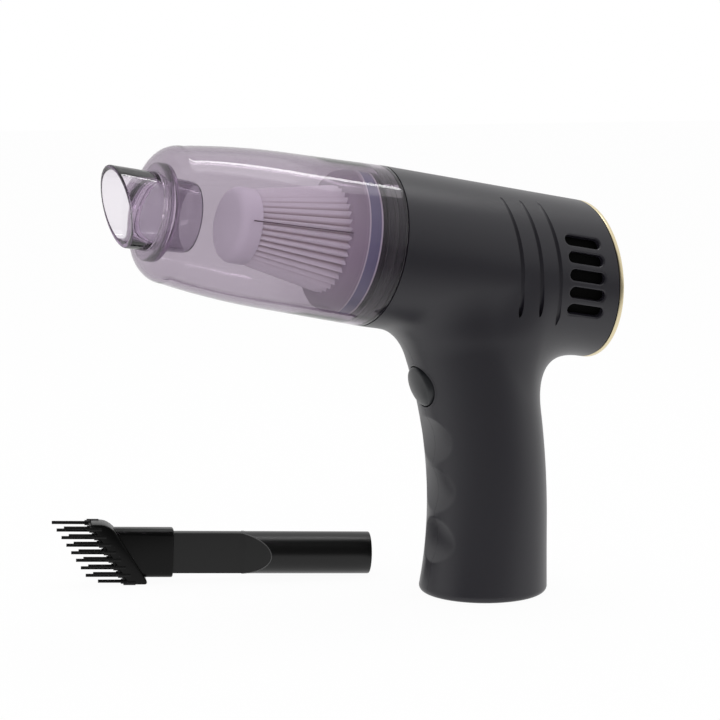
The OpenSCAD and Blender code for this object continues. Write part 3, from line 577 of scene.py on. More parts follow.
def rod(bm, radius, start, end, where=Matrix(), segments=48):
    """Closed cylinder along the local Z axis."""
    middle = where @ Matrix.Translation((0, 0, (start + end) / 2))
    bmesh.ops.create_cone(bm, cap_ends=True, segments=segments, radius1=radius, radius2=radius,
                          depth=end - start, matrix=middle)
    return bm


def block(low, high, rounding, long_edges=None):
    """Box with rounded edges; long_edges is the rounding of the edges along X."""
    bm = bmesh.new()
    made = bmesh.ops.create_cube(bm, size=1)["verts"]
    for vert in made:
        vert.co = [lo + (hi - lo) * (c + 0.5) for c, lo, hi in zip(vert.co, low, high)]
    edges = each_once(vert.link_edges for vert in made)
    if long_edges:
        along = [e for e in edges if abs(e.verts[0].co.x - e.verts[1].co.x) > TOUCH]
        rounded(bm, along, long_edges, 6)
        edges = [e for e in bm.edges if all(abs(v.co.x - high[0]) < TOUCH for v in e.verts)]
    rounded(bm, edges, rounding, 3)
    return bm


def solid(bm):
    """Working mesh as an object for a Boolean step."""
    bmesh.ops.recalc_face_normals(bm, faces=bm.faces[:])
    mesh = bpy.data.meshes.new("cutter")
    bm.to_mesh(mesh)
    bm.free()
    made = bpy.data.objects.new("cutter", mesh)
    bpy.context.scene.collection.objects.link(made)
    return made


def worked(bm, *steps):
    """Runs a working mesh through modifiers and returns the result as a new working mesh."""
    mesh = bpy.data.meshes.new("work")
    bm.to_mesh(mesh)
    bm.free()
    held = bpy.data.objects.new("work", mesh)
    bpy.context.scene.collection.objects.link(held)
    cutters = []
    for kind, values in steps:
        step = held.modifiers.new(kind.lower(), kind)
        for key, value in values.items():
            if key == "object":
                cutters.append(solid(value))
                value = cutters[-1]
            setattr(step, key, value)
    result = bmesh.new()
    result.from_mesh(held.evaluated_get(bpy.context.evaluated_depsgraph_get()).to_mesh())
    for done in [held, *cutters]:
        bpy.data.objects.remove(done)
    return result


def boolean(operation, bm):
    return ("BOOLEAN", {"operation": operation, "solver": "MANIFOLD", "object": bm})


def thickened(wall):
    return ("SOLIDIFY", {"thickness": wall, "offset": -1.0, "use_even_offset": False})


# Casing surface: barrel and grip melted together


def soft_min(a, b, k):
    near = np.maximum(k - np.abs(a - b), 0) / k
    return np.minimum(a, b) - near * near * k / 4


def soft_max(a, b, k):
    return -soft_min(-a, -b, k)


def round_max(a, b, r):
    return np.minimum(np.maximum(a, b), -r) + np.hypot(np.maximum(a + r, 0), np.maximum(b + r, 0))


def ring_shift(surface, depth, crossing):
    """Shift of a ring that is sunk by a depth in the middle and leaves the surface at a crossing."""
    return (2 * surface * depth - depth ** 2) / (2 * (surface - depth - crossing))


def scoop_rings(p):
    """Distance to the nearest finger scoop's ring."""
    tube = (SCOOP_HALF_HEIGHT ** 2 + SCOOP_DEPTH ** 2) / (2 * SCOOP_DEPTH)
    rings = []
    for height in SCOOP_HEIGHTS:
        front, rear = grip_front(height), grip_rear(height)
        r = (rear - front) / 2
        shift = ring_shift(r, SCOOP_DEPTH, math.sqrt(r * r - SCOOP_HALF_WIDTH ** 2))
        away = np.hypot(p[:, 0] - (front + rear) / 2 - shift, p[:, 1]) - (r - SCOOP_DEPTH + shift + tube)
        rings.append(np.hypot(away, p[:, 2] - height) - tube)
    return np.minimum.reduce(rings)


def blend_width(x):
    """Width of the blend between barrel and grip, which grows towards the rear."""
    behind = np.clip((x + BLEND_HALF_RUN) / (2 * BLEND_HALF_RUN), 0, 1)
    return FRONT_BLEND + (REAR_BLEND - FRONT_BLEND) * behind * behind * (3 - 2 * behind)


def casing_field(p):
    """Signed distance to the casing, near enough."""
    away = p - np.array(SEAM)
    barrel = np.hypot(away @ np.array(UP), away[:, 1]) - BARREL_R
    front, rear = grip_front(p[:, 2]), grip_rear(p[:, 2])
    grip = np.hypot(p[:, 0] - (front + rear) / 2, p[:, 1]) - (rear - front) / 2
    grip = soft_max(grip, -scoop_rings(p), SCOOP_SOFT)
    grip = round_max(grip, -p[:, 2], BASE_ROUND)
    grip = round_max(grip, p[:, 2] - GRIP_TOP, GRIP_TOP_ROUND)
    return soft_min(barrel, grip, blend_width(p[:, 0]))


def slope(p, step=0.02):
    shifts = np.eye(3) * step
    return np.stack([(casing_field(p + d) - casing_field(p - d)) / (2 * step) for d in shifts], axis=1)


def settle(bm, rounds):
    """Moves the vertices onto the casing surface."""
    p = np.array([v.co for v in bm.verts])
    for _ in range(rounds):
        g = slope(p)
        p = p - g * (casing_field(p) / np.maximum((g * g).sum(axis=1), 0.05))[:, None]
    for vert, point in zip(bm.verts, p):
        vert.co = point


def relax(bm, times):
    for _ in range(times):
        bmesh.ops.smooth_vert(bm, verts=bm.verts[:], factor=0.5, use_axis_x=True, use_axis_y=True,
                              use_axis_z=True)
        settle(bm, 2)


def casing_blank():
    """Barrel and grip as plain solids that overlap."""
    bm = bmesh.new()
    turned = Matrix.Translation(SEAM) @ Matrix((UP, SIDE, FORWARD)).transposed().to_4x4()
    rod(bm, BARREL_R, -BARREL_LEN - 2 * SKIN_OVER, SKIN_OVER, turned, 96)
    angles = np.linspace(0, 2 * math.pi, 64, endpoint=False)
    rings = []
    for z in np.linspace(0, GRIP_TOP - GRIP_TOP_ROUND / 2, 14):
        front, rear = grip_front(z), grip_rear(z)
        r = (rear - front) / 2
        rings.append([((front + rear) / 2 + r * math.cos(a), r * math.sin(a), z) for a in angles])
    loft(bm, rings)
    bmesh.ops.recalc_face_normals(bm, faces=bm.faces[:])
    return bm


def casing_skin():
    """Outer surface of both halves, which runs past the two ends of the barrel."""
    bm = worked(casing_blank(), ("REMESH", {"mode": "VOXEL", "voxel_size": SKIN_VOXEL}))
    settle(bm, 6)
    relax(bm, 4)
    for band in REFINE_BANDS:
        centres = np.array([f.calc_center_median() for f in bm.faces])
        near = (np.abs(scoop_rings(centres)) < band / 2) | (centres[:, 2] < 2 * band)
        edges = each_once(face.edges for face, keep in zip(bm.faces, near) if keep)
        bmesh.ops.subdivide_edges(bm, edges=edges, cuts=1, use_grid_fill=True)
        settle(bm, 4)
        relax(bm, 1)
    return bm


# Casing halves and what is cut into them


def stadium(length, width, grow, each=10):
    """Outline of a slot with round ends, along the first axis."""
    points = []
    for end in (1, -1):
        for i in range(each + 1):
            a = math.pi * (i / each - 0.5)
            points.append((end * ((length - width) / 2 + (width / 2 + grow) * math.cos(a)),
                           end * (width / 2 + grow) * math.sin(a)))
    return points


def groove_rings(start, lift, hand):
    """Rings of a crescent tube that sinks into the barrel and leaves it at both ends."""
    span = GROOVE_SPAN - lift
    shift = ring_shift(BARREL_R, GROOVE_DEPTH, BARREL_R * math.cos(span))
    reach = BARREL_R - GROOVE_DEPTH + shift + GROOVE_TUBE
    lean = Matrix.Rotation(-GROOVE_LEAN, 3, "Y")
    middle = Matrix.Rotation(hand * (math.pi / 2 - GROOVE_MID - lift), 3, "Z")
    for share in np.linspace(-1, 1, 81):
        turn = share * (span + GROOVE_RUNOUT)
        tube = GROOVE_TUBE * min(max((1 - abs(share)) / GROOVE_POINT, 0.05), 1)
        ring = []
        for a in np.linspace(0, 2 * math.pi, 32, endpoint=False):
            r, z = reach + tube * math.cos(a), tube * math.sin(a)
            z /= GROOVE_STEEP if z > 0 else 1
            local = lean @ (middle @ Vector((r * math.cos(turn) - shift, r * math.sin(turn), z)))
            ring.append(SEAM + UP * local.x + SIDE * local.y + FORWARD * (local.z - start))
        yield ring


def vent_rings(angle, hand):
    """Rings of a slot through the barrel wall, with softly rounded outer edges."""
    depths = [VENT_FLARE * (1 - math.cos(a)) for a in np.linspace(0, math.pi / 2, 6)]
    grows = [VENT_FLARE - math.sqrt(max(VENT_FLARE ** 2 - (VENT_FLARE - d) ** 2, 0)) for d in depths]
    s = -BARREL_LEN + VENT_SETBACK + BARREL_R * math.sin(angle) * math.tan(REAR_LEAN)
    out = UP * math.sin(angle) + SIDE * (hand * math.cos(angle))
    across = FORWARD.cross(out)
    for depth, grow in [(-VENT_OUTSIDE, VENT_FLARE), *zip(depths, grows), (3 * WALL, 0.0)]:
        yield [SEAM + FORWARD * (s + u) + across * v + out * (BARREL_R - depth - v * v / (2 * BARREL_R))
               for u, v in stadium(VENT_LEN, VENT_WIDTH, grow)]


def screw_places():
    """Matrix and seat height of each casing screw, along +Y."""
    turn = Matrix.Rotation(-math.pi / 2, 4, "X")
    for s in BARREL_SCREWS:
        yield Matrix.Translation(SEAM + UP * BARREL_SCREW_UP - FORWARD * s) @ turn, BARREL_SEAT_Y
    for x, z in GRIP_SCREWS:
        yield Matrix.Translation((x, 0, z)) @ turn, GRIP_SEAT_Y


def casing_cutters(hand):
    """Vents, grooves and the holes for button, base cap, screws and charge socket."""
    bm = bmesh.new()
    for i in range(VENTS):
        loft(bm, list(vent_rings(VENT_MID + (i - (VENTS - 1) / 2) * VENT_STEP, hand)))
    for i, lift in enumerate(GROOVE_LIFTS):
        loft(bm, list(groove_rings(GROOVE_START + i * GROOVE_PITCH, lift, hand)))
    rod(bm, BEZEL_R + SEAT, -BEZEL_LEN, BEZEL_LEN, to_row(BUTTON), 96)
    rod(bm, BASE_CAP_R + SEAT, -1, WALL + SLIP, segments=96)
    if hand > 0:
        for where, seat in screw_places():
            rod(bm, SCREW_RECESS_R, seat, 2 * BARREL_R, where)
    backwards = Matrix.Translation((0, 0, CHARGE_Z)) @ Matrix.Rotation(math.pi / 2, 4, "Y")
    rod(bm, CHARGE_R + SEAT, CHARGE_INNER_X, 2 * GRIP_BACK, backwards)
    return bm


def casing_halves():
    skin = trimmed(casing_skin(), SEAM, FORWARD)
    behind = UP * math.sin(REAR_LEAN) - FORWARD * math.cos(REAR_LEAN)
    trimmed(skin, SEAM - FORWARD * (BARREL_LEN - TRIM_SETBACK), behind)
    for hand, name in ((-1, "body_shell_left"), (1, "body_shell_right")):
        half = trimmed(skin.copy(), SIDE * (hand * PARTING / 2), SIDE * -hand)
        half = worked(half, thickened(WALL), boolean("DIFFERENCE", casing_cutters(hand)))
        piece(name + "_look", half, ROW, "casing", "casing", [name], angle=40)
    skin.free()


def boss_sleeves():
    """Tubes that hold the screw heads behind the right half's recesses."""
    tubes = []
    for where, seat in screw_places():
        low, high = seat - BOSS_BELOW, seat + BOSS_ABOVE
        tubes.append(lathe([(low, BOSS_BORE), (low, BOSS_R), (high, BOSS_R), (high, SCREW_RECESS_R),
                            (seat, SCREW_RECESS_R), (seat, BOSS_BORE)], steps=32))
        tubes[-1].transform(where)
    piece("boss_sleeves", joined(*tubes), ROW, "casing", "casing")


def exhaust_sleeve():
    """Dark sleeve behind the vents, standing for the filter inside, in a near-black of painted shade that keeps
    the vents dark.
    """
    outer = BARREL_R - WALL - SLEEVE_GAP
    inner = outer - SLEEVE_WALL
    rear = SLEEVE_SETBACK - BARREL_LEN
    front = rear + SLEEVE_LEN
    bm = lathe([(rear, inner), (rear, outer), (front, outer), (front, inner)])
    piece("exhaust_sleeve", bm, BARREL, "casing", "black_plastic", look=SHADE_LOOK)


# Barrel ends


def front_spigot():
    rear_r, groove_r = BARREL_R - WALL - SEAT, SPIGOT_R - SEAL_GROOVE_DEPTH
    groove_rear, groove_front = SEAL_GROOVE_S - SEAL_GROOVE_HALF, SEAL_GROOVE_S + SEAL_GROOVE_HALF
    bm = lathe([(SPIGOT_ROOT, SPIGOT_BORE), (SPIGOT_ROOT, rear_r, FINE), (0, rear_r), (0, SPIGOT_R),
                (groove_rear, SPIGOT_R, CRISP), (groove_rear, groove_r), (groove_front, groove_r),
                (groove_front, SPIGOT_R, CRISP), (SPIGOT_LEN, SPIGOT_R, FULL),
                (SPIGOT_LEN, SPIGOT_BORE, EASED)])
    plate_end = SPIGOT_ROOT + PLATE_T
    plate = rod(bmesh.new(), SPIGOT_BORE + 2 * SEAT, SPIGOT_ROOT, plate_end, segments=TURN_STEPS)
    holes = bmesh.new()
    for i in range(PLATE_HOLES):
        a = 2 * math.pi * i / PLATE_HOLES
        shift = Matrix.Translation((PLATE_HOLE_AT * math.cos(a), PLATE_HOLE_AT * math.sin(a), 0))
        rod(holes, PLATE_HOLE_R, SPIGOT_ROOT - 2, SPIGOT_ROOT + 2 * PLATE_T, shift)
    plate = worked(plate, boolean("DIFFERENCE", holes))
    piece("spigot_look", joined(bm, plate), BARREL, "casing", "black_plastic", ["front_spigot"],
          look=SPIGOT_LOOK)


def rear_trim():
    """Gold ring cut out of a tube between two planes that lean as the rear rim does."""
    inner, outer, over = BARREL_R - WALL, BARREL_R, BARREL_R / 2
    rear, front = -BARREL_LEN - over, -BARREL_LEN + over
    bm = lathe([(rear, inner), (rear, outer), (front, outer), (front, inner)])
    normal = Vector((-math.sin(REAR_LEAN), 0, math.cos(REAR_LEAN)))
    middle = Vector((0, 0, TRIM_SETBACK - BARREL_LEN))
    for shift, way in ((-RIM_GAP, 1), (-RIM_GAP - TRIM_T, -1)):
        at = middle + normal * shift
        trimmed(bm, at, normal * way)
        rim = [e for e in bm.edges if all(abs((v.co - at).dot(normal)) < 10 * TOUCH for v in e.verts)]
        bmesh.ops.bridge_loops(bm, edges=rim)
        rounded(bm, rim, TRIM_ROUND, 3)
    piece("trim_ring_look", bm, BARREL, "casing", "gold_trim", ["rear_trim_ring"])


# Button


def power_button():
    rise = BUTTON_PROUD - BUTTON_CROWN
    reaches = np.linspace(0, BUTTON_R - CROWN_MARGIN, 8)
    crown = [(rise + math.sqrt(BUTTON_CROWN ** 2 - r * r), r) for r in reaches]
    edge = rise + math.sqrt(BUTTON_CROWN ** 2 - BUTTON_R ** 2)
    foot = -BEZEL_STEP - SLIP
    stem, stem_end = foot - BUTTON_FOOT_T, -BEZEL_LEN - STEM_REACH
    bm = lathe([*crown, (edge, BUTTON_R, BUTTON_ROUND), (foot, BUTTON_R), (foot, BUTTON_FOOT_R),
                (stem, BUTTON_FOOT_R), (stem, STEM_R), (stem_end, STEM_R), (stem_end, 0)],
               closed=False, steps=96)
    piece("button_look", bm, BUTTON, "button", "gloss_black", ["power_button"], look=BUTTON_LOOK)


def button_ring():
    """Ring round the button, with its top laid flush with the casing."""
    bore, rear_bore = BUTTON_R + SLIP, BUTTON_FOOT_R + SLIP
    bm = lathe([(-BEZEL_LEN, rear_bore), (-BEZEL_LEN, BEZEL_R), (0, BEZEL_R), (0, (bore + BEZEL_R) / 2),
                (0, bore), (-BEZEL_STEP, bore), (-BEZEL_STEP, rear_bore)], steps=96)
    top = {v for v in bm.verts if v.co.z > -0.01}
    turn = to_row(BUTTON)
    for vert in top:
        for _ in range(12):
            here = turn @ vert.co
            vert.co.z -= float(casing_field(np.array([here]))[0])
    lip = [e for e in bm.edges if top.issuperset(e.verts)
           and all(abs(math.hypot(v.co.x, v.co.y) - bore) < 0.01 for v in e.verts)]
    rounded(bm, lip, BEZEL_ROUND, 2)
    piece("bezel_look", bm, BUTTON, "casing", "casing", ["button_bezel"])


# Dust cup and nozzle


def dust_cup():
    shoulder_s = CUP_LEN - CUP_SHOULDER
    middle = cup_r(shoulder_s) - CUP_SHOULDER
    bore = CUP_SEAT_R + CUP_STEP
    hole = NOZZLE_R + SEAT
    outside = [(s, cup_r(s)) for s in np.linspace(SLIP, shoulder_s, 30)]
    outside[0] = (*outside[0], SOFT)
    line_end = CUP_LINE_S + CUP_LINE_W
    line = [(CUP_LINE_S, 0), (CUP_LINE_S + CUP_LINE_EASE, CUP_LINE_DEPTH),
            (line_end - CUP_LINE_EASE, CUP_LINE_DEPTH), (line_end, 0)]
    outside[1:1] = [(s, cup_r(s) - drop) for s, drop in line]
    turns = [math.radians(a) for a in np.arange(7.5, 90.1, 7.5)]
    outer = [(shoulder_s + CUP_SHOULDER * math.sin(a), middle + CUP_SHOULDER * math.cos(a)) for a in turns]
    depth = CUP_SHOULDER - CUP_WALL
    inner = [(shoulder_s + depth * math.sin(a), middle + depth * math.cos(a)) for a in reversed(turns)]
    step_s = SPIGOT_LEN + SLIP
    inside = [(s, min(CUP_SEAT_R, cup_r(s) - CUP_WALL)) for s in np.linspace(shoulder_s, step_s, 30)]
    bm = lathe([*outside, *outer, (CUP_LEN, hole), (CUP_LEN - CUP_WALL, hole), *inner, *inside,
                (step_s, bore, CRISP), (SLIP, bore, FINE)], steps=192)
    piece("dust_cup_look", bm, BARREL, "cup", "smoke_clear", ["dust_cup"], angle=40)


def flange_front():
    """Front face of the nozzle's flange, behind its seal."""
    depth = CUP_SHOULDER - CUP_WALL
    over = FLANGE_R - (cup_r(CUP_LEN - CUP_SHOULDER) - CUP_SHOULDER)
    return CUP_LEN - CUP_SHOULDER + math.sqrt(depth ** 2 - over ** 2) - SEAL_REST - SEAL_T - 2 * SEAT


def inlet_nozzle():
    """Nozzle with its flange, the darker stub behind it, and the seal in front of the flange."""
    front = flange_front()
    root = front - FLANGE_T
    bm = lathe([(root, STUB_BORE), (root, FLANGE_R, EASED), (front, FLANGE_R, EASED), (front, NOZZLE_R),
                (NOZZLE_ROOT, NOZZLE_R), (MOUTH_S, NOZZLE_R, FULL), (MOUTH_S, NOZZLE_BORE, FULL),
                (NOZZLE_ROOT, NOZZLE_BORE)], steps=160)
    for vert in bm.verts:
        reach = (vert.co.z - NOZZLE_ROOT) / (MOUTH_S - NOZZLE_ROOT)
        vert.co.z += max(reach, 0) * vert.co.x * math.tan(MOUTH_SLANT)
    piece("nozzle_look", bm, BARREL, "cup", "smoke_clear", ["inlet_nozzle"], look=NOZZLE_LOOK, angle=40)
    end = root - SEAT
    stub = lathe([(STUB_S, STUB_BORE, SOFT), (STUB_S, STUB_R, SOFT), (end, STUB_R), (end, STUB_BORE)])
    piece("nozzle_stub", stub, BARREL, "cup", "smoke_clear", look=STUB_LOOK, angle=40)
    seal, seal_bore = front + SEAT, NOZZLE_R + SEAT
    ring = lathe([(seal, seal_bore, CRISP), (seal, FLANGE_R, FINE), (seal + SEAL_T, FLANGE_R, FINE),
                  (seal + SEAL_T, seal_bore, CRISP)])
    piece("nozzle_seal_look", ring, BARREL, "cup", "seal_rubber", ["nozzle_seal"], look=SEAL_LOOK)


# Filter


def filter_nose():
    start = PLEAT_FRONT_S + SEAT
    bm = lathe([(start, 0), (start, PLEAT_FRONT_R, EASED), (NOSE_S, PLEAT_FRONT_R, NOSE_ROUND), (NOSE_S, 0)],
               closed=False)
    piece("filter_nose", bm, BARREL, "filter", "white_plastic", look=NOSE_LOOK)


def filter_frame():
    """Collar, flange with a bed for the band, and the ribs of the cage, in the white plastic darkened as painted
    shade.
    """
    seat, lip_end, inner = PLEAT_REAR_S - SEAT, BAND_END + LIP_W, RIB_REAR_R - RIB_R
    bm = lathe([(COLLAR_END, COLLAR_BORE, FINE), (COLLAR_END, COLLAR_R, FINE), (FILTER_BACK, COLLAR_R),
                (FILTER_BACK, FILTER_RIM - BAND_BED), (lip_end, FILTER_RIM - BAND_BED),
                (lip_end, FILTER_RIM, HAIR), (FILTER_FRONT, FILTER_RIM, FINE),
                (seat, PLEAT_REAR_R + 1, SOFT), (seat, inner), (FILTER_FRONT - 1, inner),
                (SPIGOT_LEN + SLIP, COLLAR_BORE)])
    for i in range(RIBS):
        turn = Matrix.Rotation(2 * math.pi * i / RIBS, 4, "Z")
        at = turn @ Matrix.Translation((RIB_REAR_R, 0, PLEAT_REAR_S)) @ Matrix.Rotation(-RIB_LEAN, 4, "Y")
        rod(bm, RIB_R, -1, PLEAT_RUN / math.cos(RIB_LEAN) + 1, at, 12)
    piece("filter_frame_look", bm, BARREL, "filter", "white_plastic", ["filter_frame"])


def filter_rings():
    """Band between two bright lips round the flange, and the gasket behind them."""
    band = FILTER_BACK + LIP_W
    bed = FILTER_RIM - BAND_BED + BAND_GAP
    for name, rear, end, drop, look in (("filter_lip_rear", FILTER_BACK, band, 0, LIP_LOOK),
                                        ("filter_band", band, BAND_END, BAND_DROP, BAND_LOOK),
                                        ("filter_lip_front", BAND_END, BAND_END + LIP_W, 0, LIP_LOOK)):
        low, high, top = rear + BAND_GAP, end - BAND_GAP, FILTER_RIM - drop
        ring = lathe([(low, bed), (low, top, HAIR), (high, top, HAIR), (high, bed)])
        piece(name, ring, BARREL, "filter", "white_plastic", look=look)
    rear, front = FILTER_BACK - GASKET_T, FILTER_BACK - SEAT
    bore, outer = COLLAR_R + SEAT, FILTER_RIM - BAND_BED - 2 * SEAT
    gasket = lathe([(rear, bore), (rear, outer, FINE), (front, outer, FINE), (front, bore)])
    piece("gasket_look", gasket, BARREL, "filter", "seal_rubber", ["filter_gasket"])


def paper_joint():
    """Seam line where the ends of the paper meet."""
    rear = Matrix.Translation((PLEAT_REAR_R + JOINT_PROUD, 0, PLEAT_REAR_S))
    at = Matrix.Rotation(JOINT_TURN, 4, "Z") @ rear @ Matrix.Rotation(-RIB_LEAN, 4, "Y")
    bm = rod(bmesh.new(), JOINT_R, -JOINT_OVER_REAR, PLEAT_RUN + JOINT_OVER_FRONT, at, 12)
    piece("paper_joint", bm, BARREL, "filter", "filter_paper", look=JOINT_LOOK)


def pleat_r(s):
    """Outer radius of the pleats."""
    return PLEAT_REAR_R + (PLEAT_FRONT_R - PLEAT_REAR_R) * (s - PLEAT_REAR_S) / PLEAT_RUN


def filter_pleats():
    rings = []
    angles = np.linspace(0, 2 * math.pi, PLEATS * PLEAT_POINTS, endpoint=False)
    folds = [math.acos(PLEAT_SHARPNESS * math.cos(PLEATS * a)) / math.pi for a in angles]
    for s in np.linspace(PLEAT_REAR_S, PLEAT_FRONT_S, 3):
        reaches = [pleat_r(s) * (1 - PLEAT_FOLD * fold) for fold in folds]
        rings.append([(r * math.cos(a), r * math.sin(a), s) for r, a in zip(reaches, angles)])
    bm = loft(bmesh.new(), rings, caps=False)
    bmesh.ops.recalc_face_normals(bm, faces=bm.faces[:])
    bm = worked(bm, thickened(PAPER_T))
    # Depth of each point in its fold, the mask of the painted shade in the folds
    pleat_shade_mask = bm.verts.layers.float.new("fold")
    for vert in bm.verts:
        depth = 1 - vert.co.xy.length / pleat_r(vert.co.z)
        vert[pleat_shade_mask] = min(max(depth / PLEAT_FOLD, 0), 1)
    piece("pleats_look", bm, BARREL, "filter", "filter_paper", ["filter_pleats"], angle=60)


# Crevice tool


def tool_stations():
    """Places along the tool, close together where the facets run out."""
    blade = np.linspace(BLADE_TIP, FACET_START - 3, 6)
    facet = np.linspace(FACET_START - 2.4, FACET_END + 2, 72)
    tube = np.linspace(FACET_END + 4, TOOL_LEN - 0.5, 6)
    return np.concatenate([blade, facet, tube])


def crevice_tool():
    angles = np.linspace(0, 2 * math.pi, 240, endpoint=False)
    rings = []
    for x in tool_stations():
        half = soft_max(BLADE_HALF, BLADE_HALF + FACET_RISE * (x - FACET_START), FACET_SOFT)
        y = soft_min(TOOL_R * np.sin(angles), half, FACET_EDGE_SOFT)
        y = soft_max(y, -half, FACET_EDGE_SOFT)
        rings.append(list(zip([x] * len(angles), y, TOOL_R * np.cos(angles))))
    for back, inwards in TOOL_END_ROUND:
        x, r = TOOL_LEN - back, TOOL_R - inwards
        rings.append(list(zip([x] * len(angles), r * np.sin(angles), r * np.cos(angles))))
    bm = loft(bmesh.new(), rings, caps=False)
    bmesh.ops.recalc_face_normals(bm, faces=bm.faces[:])
    bm = worked(bm, thickened(TOOL_WALL))
    piece("crevice_tool_look", bm, TOOL, "tool", "tool_black", ["crevice_tool"], angle=40)


def facet_rim(hand):
    """Fine bead along the curved end of a facet, coloured lighter as a painted highlight."""
    reach = math.acos(BLADE_HALF / TOOL_R)
    path = []
    for turn in np.linspace(-reach, reach, 61):
        y, z = TOOL_R * math.cos(turn), TOOL_R * math.sin(turn)
        path.append(Vector((FACET_START + (y - BLADE_HALF) / FACET_RISE, hand * y, z)))
    rings = []
    for before, point, after in zip(path[:1] + path, path, path[1:] + path[-1:]):
        out = Vector((0, point.y, point.z)).normalized()
        across = (after - before).cross(out).normalized()
        rings.append([point + (out * math.cos(a) + across * math.sin(a)) * RIM_BEAD_R
                      for a in np.linspace(0, 2 * math.pi, 8, endpoint=False)])
    return loft(bmesh.new(), rings)


def facet_rims():
    piece("facet_rims", joined(facet_rim(-1), facet_rim(1)), TOOL, "tool", "tool_black", look=RIM_HIGHLIGHT_LOOK)


# Brush


def leaned(bm):
    """Shears an upright shape to the slant of the brush frame."""
    for vert in bm.verts:
        vert.co.x += FRAME_MID - FRAME_LEAN * vert.co.z
    return bm


def brush_frame():
    """Slanted frame with rounded corners."""
    bm = bmesh.new()
    back = SLICE_T + SEAT
    for vert in bmesh.ops.create_cube(bm, size=1)["verts"]:
        x, y, z = vert.co
        vert.co = (back + (FRAME_T - back) * (x + 0.5), FRAME_D * y, FRAME_H * z)
    corners = [e for e in bm.edges if abs(e.verts[0].co.y - e.verts[1].co.y) > 1]
    high = [e for e in corners if e.verts[0].co.z > 0 and e.verts[0].co.x > FRAME_T / 2]
    low = [e for e in corners if e.verts[0].co.z < 0]
    rounded(bm, high, FRAME_HIGH_ROUND, 6)
    rounded(bm, low, FRAME_LOW_ROUND, 6)
    rims = [e for e in bm.edges if all(abs(abs(v.co.y) - FRAME_D / 2) < TOUCH for v in e.verts)]
    rounded(bm, rims, FRAME_EDGE_ROUND, 3)
    return leaned(bm)


def brush_socket():
    """Sleeve that slides over the blade, cut to the slant of the frame."""
    bm = block((SOCKET_START, -SOCKET_D / 2, -SOCKET_H / 2), (SOCKET_END, SOCKET_D / 2, SOCKET_H / 2),
               FRAME_EDGE_ROUND, long_edges=SOCKET_ROUND)
    trimmed(bm, (FRAME_MID + FRAME_T / 2, 0, 0), (-1, 0, -FRAME_LEAN))
    bmesh.ops.holes_fill(bm, edges=[e for e in bm.edges if e.is_boundary])
    return bm


def brush_head():
    slot_half = BLADE_HALF + SLIP
    slot = block((BLADE_TIP - SLIP, -slot_half, -SLOT_HALF_H),
                 (SOCKET_END + SLOT_OVER, slot_half, SLOT_HALF_H), FINE)
    duct = block((0, -DUCT_HALF_D, -DUCT_HALF_H), (SOCKET_END, DUCT_HALF_D, DUCT_HALF_H), CRISP)
    bm = worked(brush_frame(), boolean("UNION", brush_socket()), boolean("DIFFERENCE", slot),
                boolean("DIFFERENCE", duct))
    piece("brush_head_look", bm, TOOL, "brush", "gloss_black", ["brush_head"], angle=40)


def tuft_places():
    """Height, side and length of each tuft."""
    step = (FRAME_H - 2 * TUFT_EDGE) / (TUFTS - 1 + ROW_SHIFT)
    for row in (0, 1):
        for i in range(TUFTS):
            z = FRAME_H / 2 - TUFT_EDGE - (i + row * ROW_SHIFT) * step
            yield z, (0.5 - row) * ROW_GAP, (SHORT_TUFT if row else LONG_TUFT)


def tuft(bm, turn, length):
    """Bundle of strands in a hexagon of five rows."""
    run = length - STRAND_START
    for i in range(-2, 3):
        for j in range(-2, 3):
            if abs(i + j) <= 2:
                u, v = STRAND_GAP * (i + j / 2), STRAND_GAP * j * math.sqrt(3) / 2
                bmesh.ops.create_cone(bm, cap_ends=True, segments=5, radius1=STRAND_ROOT_R,
                                      radius2=STRAND_TIP_R, depth=run,
                                      matrix=turn @ Matrix.Translation((u, v, STRAND_START + run / 2)))


def brush_bristles():
    """Tufts on their backing slice, with a short ridge beside each."""
    half_d, half_h = FRAME_D / 2 - SLICE_MARGIN, FRAME_H / 2 - SLICE_MARGIN
    bm = leaned(block((0, -half_d, -half_h), (SLICE_T, half_d, half_h), FINE))
    for z, y, length in tuft_places():
        turn = Matrix.Translation((FRAME_MID - FRAME_LEAN * z, y, z)) @ Matrix.Rotation(-math.pi / 2, 4, "Y")
        beside = Matrix.Translation((0, math.copysign(RIDGE_OUT, y), 0))
        rod(bm, TUFT_SEAT_R, -TUFT_SEAT_SINK, TUFT_SEAT_PROUD, turn, 20)
        rod(bm, RIDGE_R, -RIDGE_SINK, RIDGE_PROUD, turn @ beside, 20)
        tuft(bm, turn, length)
    piece("bristles_look", bm, TOOL, "brush", "bristle_black", ["brush_bristles"])


# Inner pieces


def dress_cad():
    """Gives the inner pieces that stay as packed their finishes."""
    for name, node in frame["nodes"].items():
        node.data.materials.clear()
        node.data.materials.append(LOOK[slot_of[name]])


# Studio

STUDIO_OPENING = Vector((-0.456, -0.880, 0.134))
WORLD_LIGHT = 0.8
MIRRORED_LIGHT = 0.9
MIRRORED_RANGE = ((0.35, grey(1.0)), (0.8, grey(0.1)))
FLOOR_HALF = 6
FLOOR_COLOUR = grey(0.92)
FLOOR_WHITE_SHARE = 0.95
APRON_RANGE = ((0.05, grey(0.95)), (0.25, grey(0.2)))


def ray_share(nodes, link, operation, first, second):
    """Two facts about a ray put together, between zero and one."""
    path = nodes.new("ShaderNodeLightPath")
    both = math_node(nodes, operation, clamp=True)
    link(path.outputs[first], both.inputs[0])
    link(path.outputs[second], both.inputs[1])
    return both.outputs[0]


def seen_plainly(nodes, link):
    """One for what is seen straight or through clear plastic."""
    return ray_share(nodes, link, "MAXIMUM", "Is Camera Ray", "Transmission Depth")


def mirrored_plainly(nodes, link):
    """One for what opaque surfaces mirror."""
    return ray_share(nodes, link, "SUBTRACT", "Is Glossy Ray", "Transmission Depth")


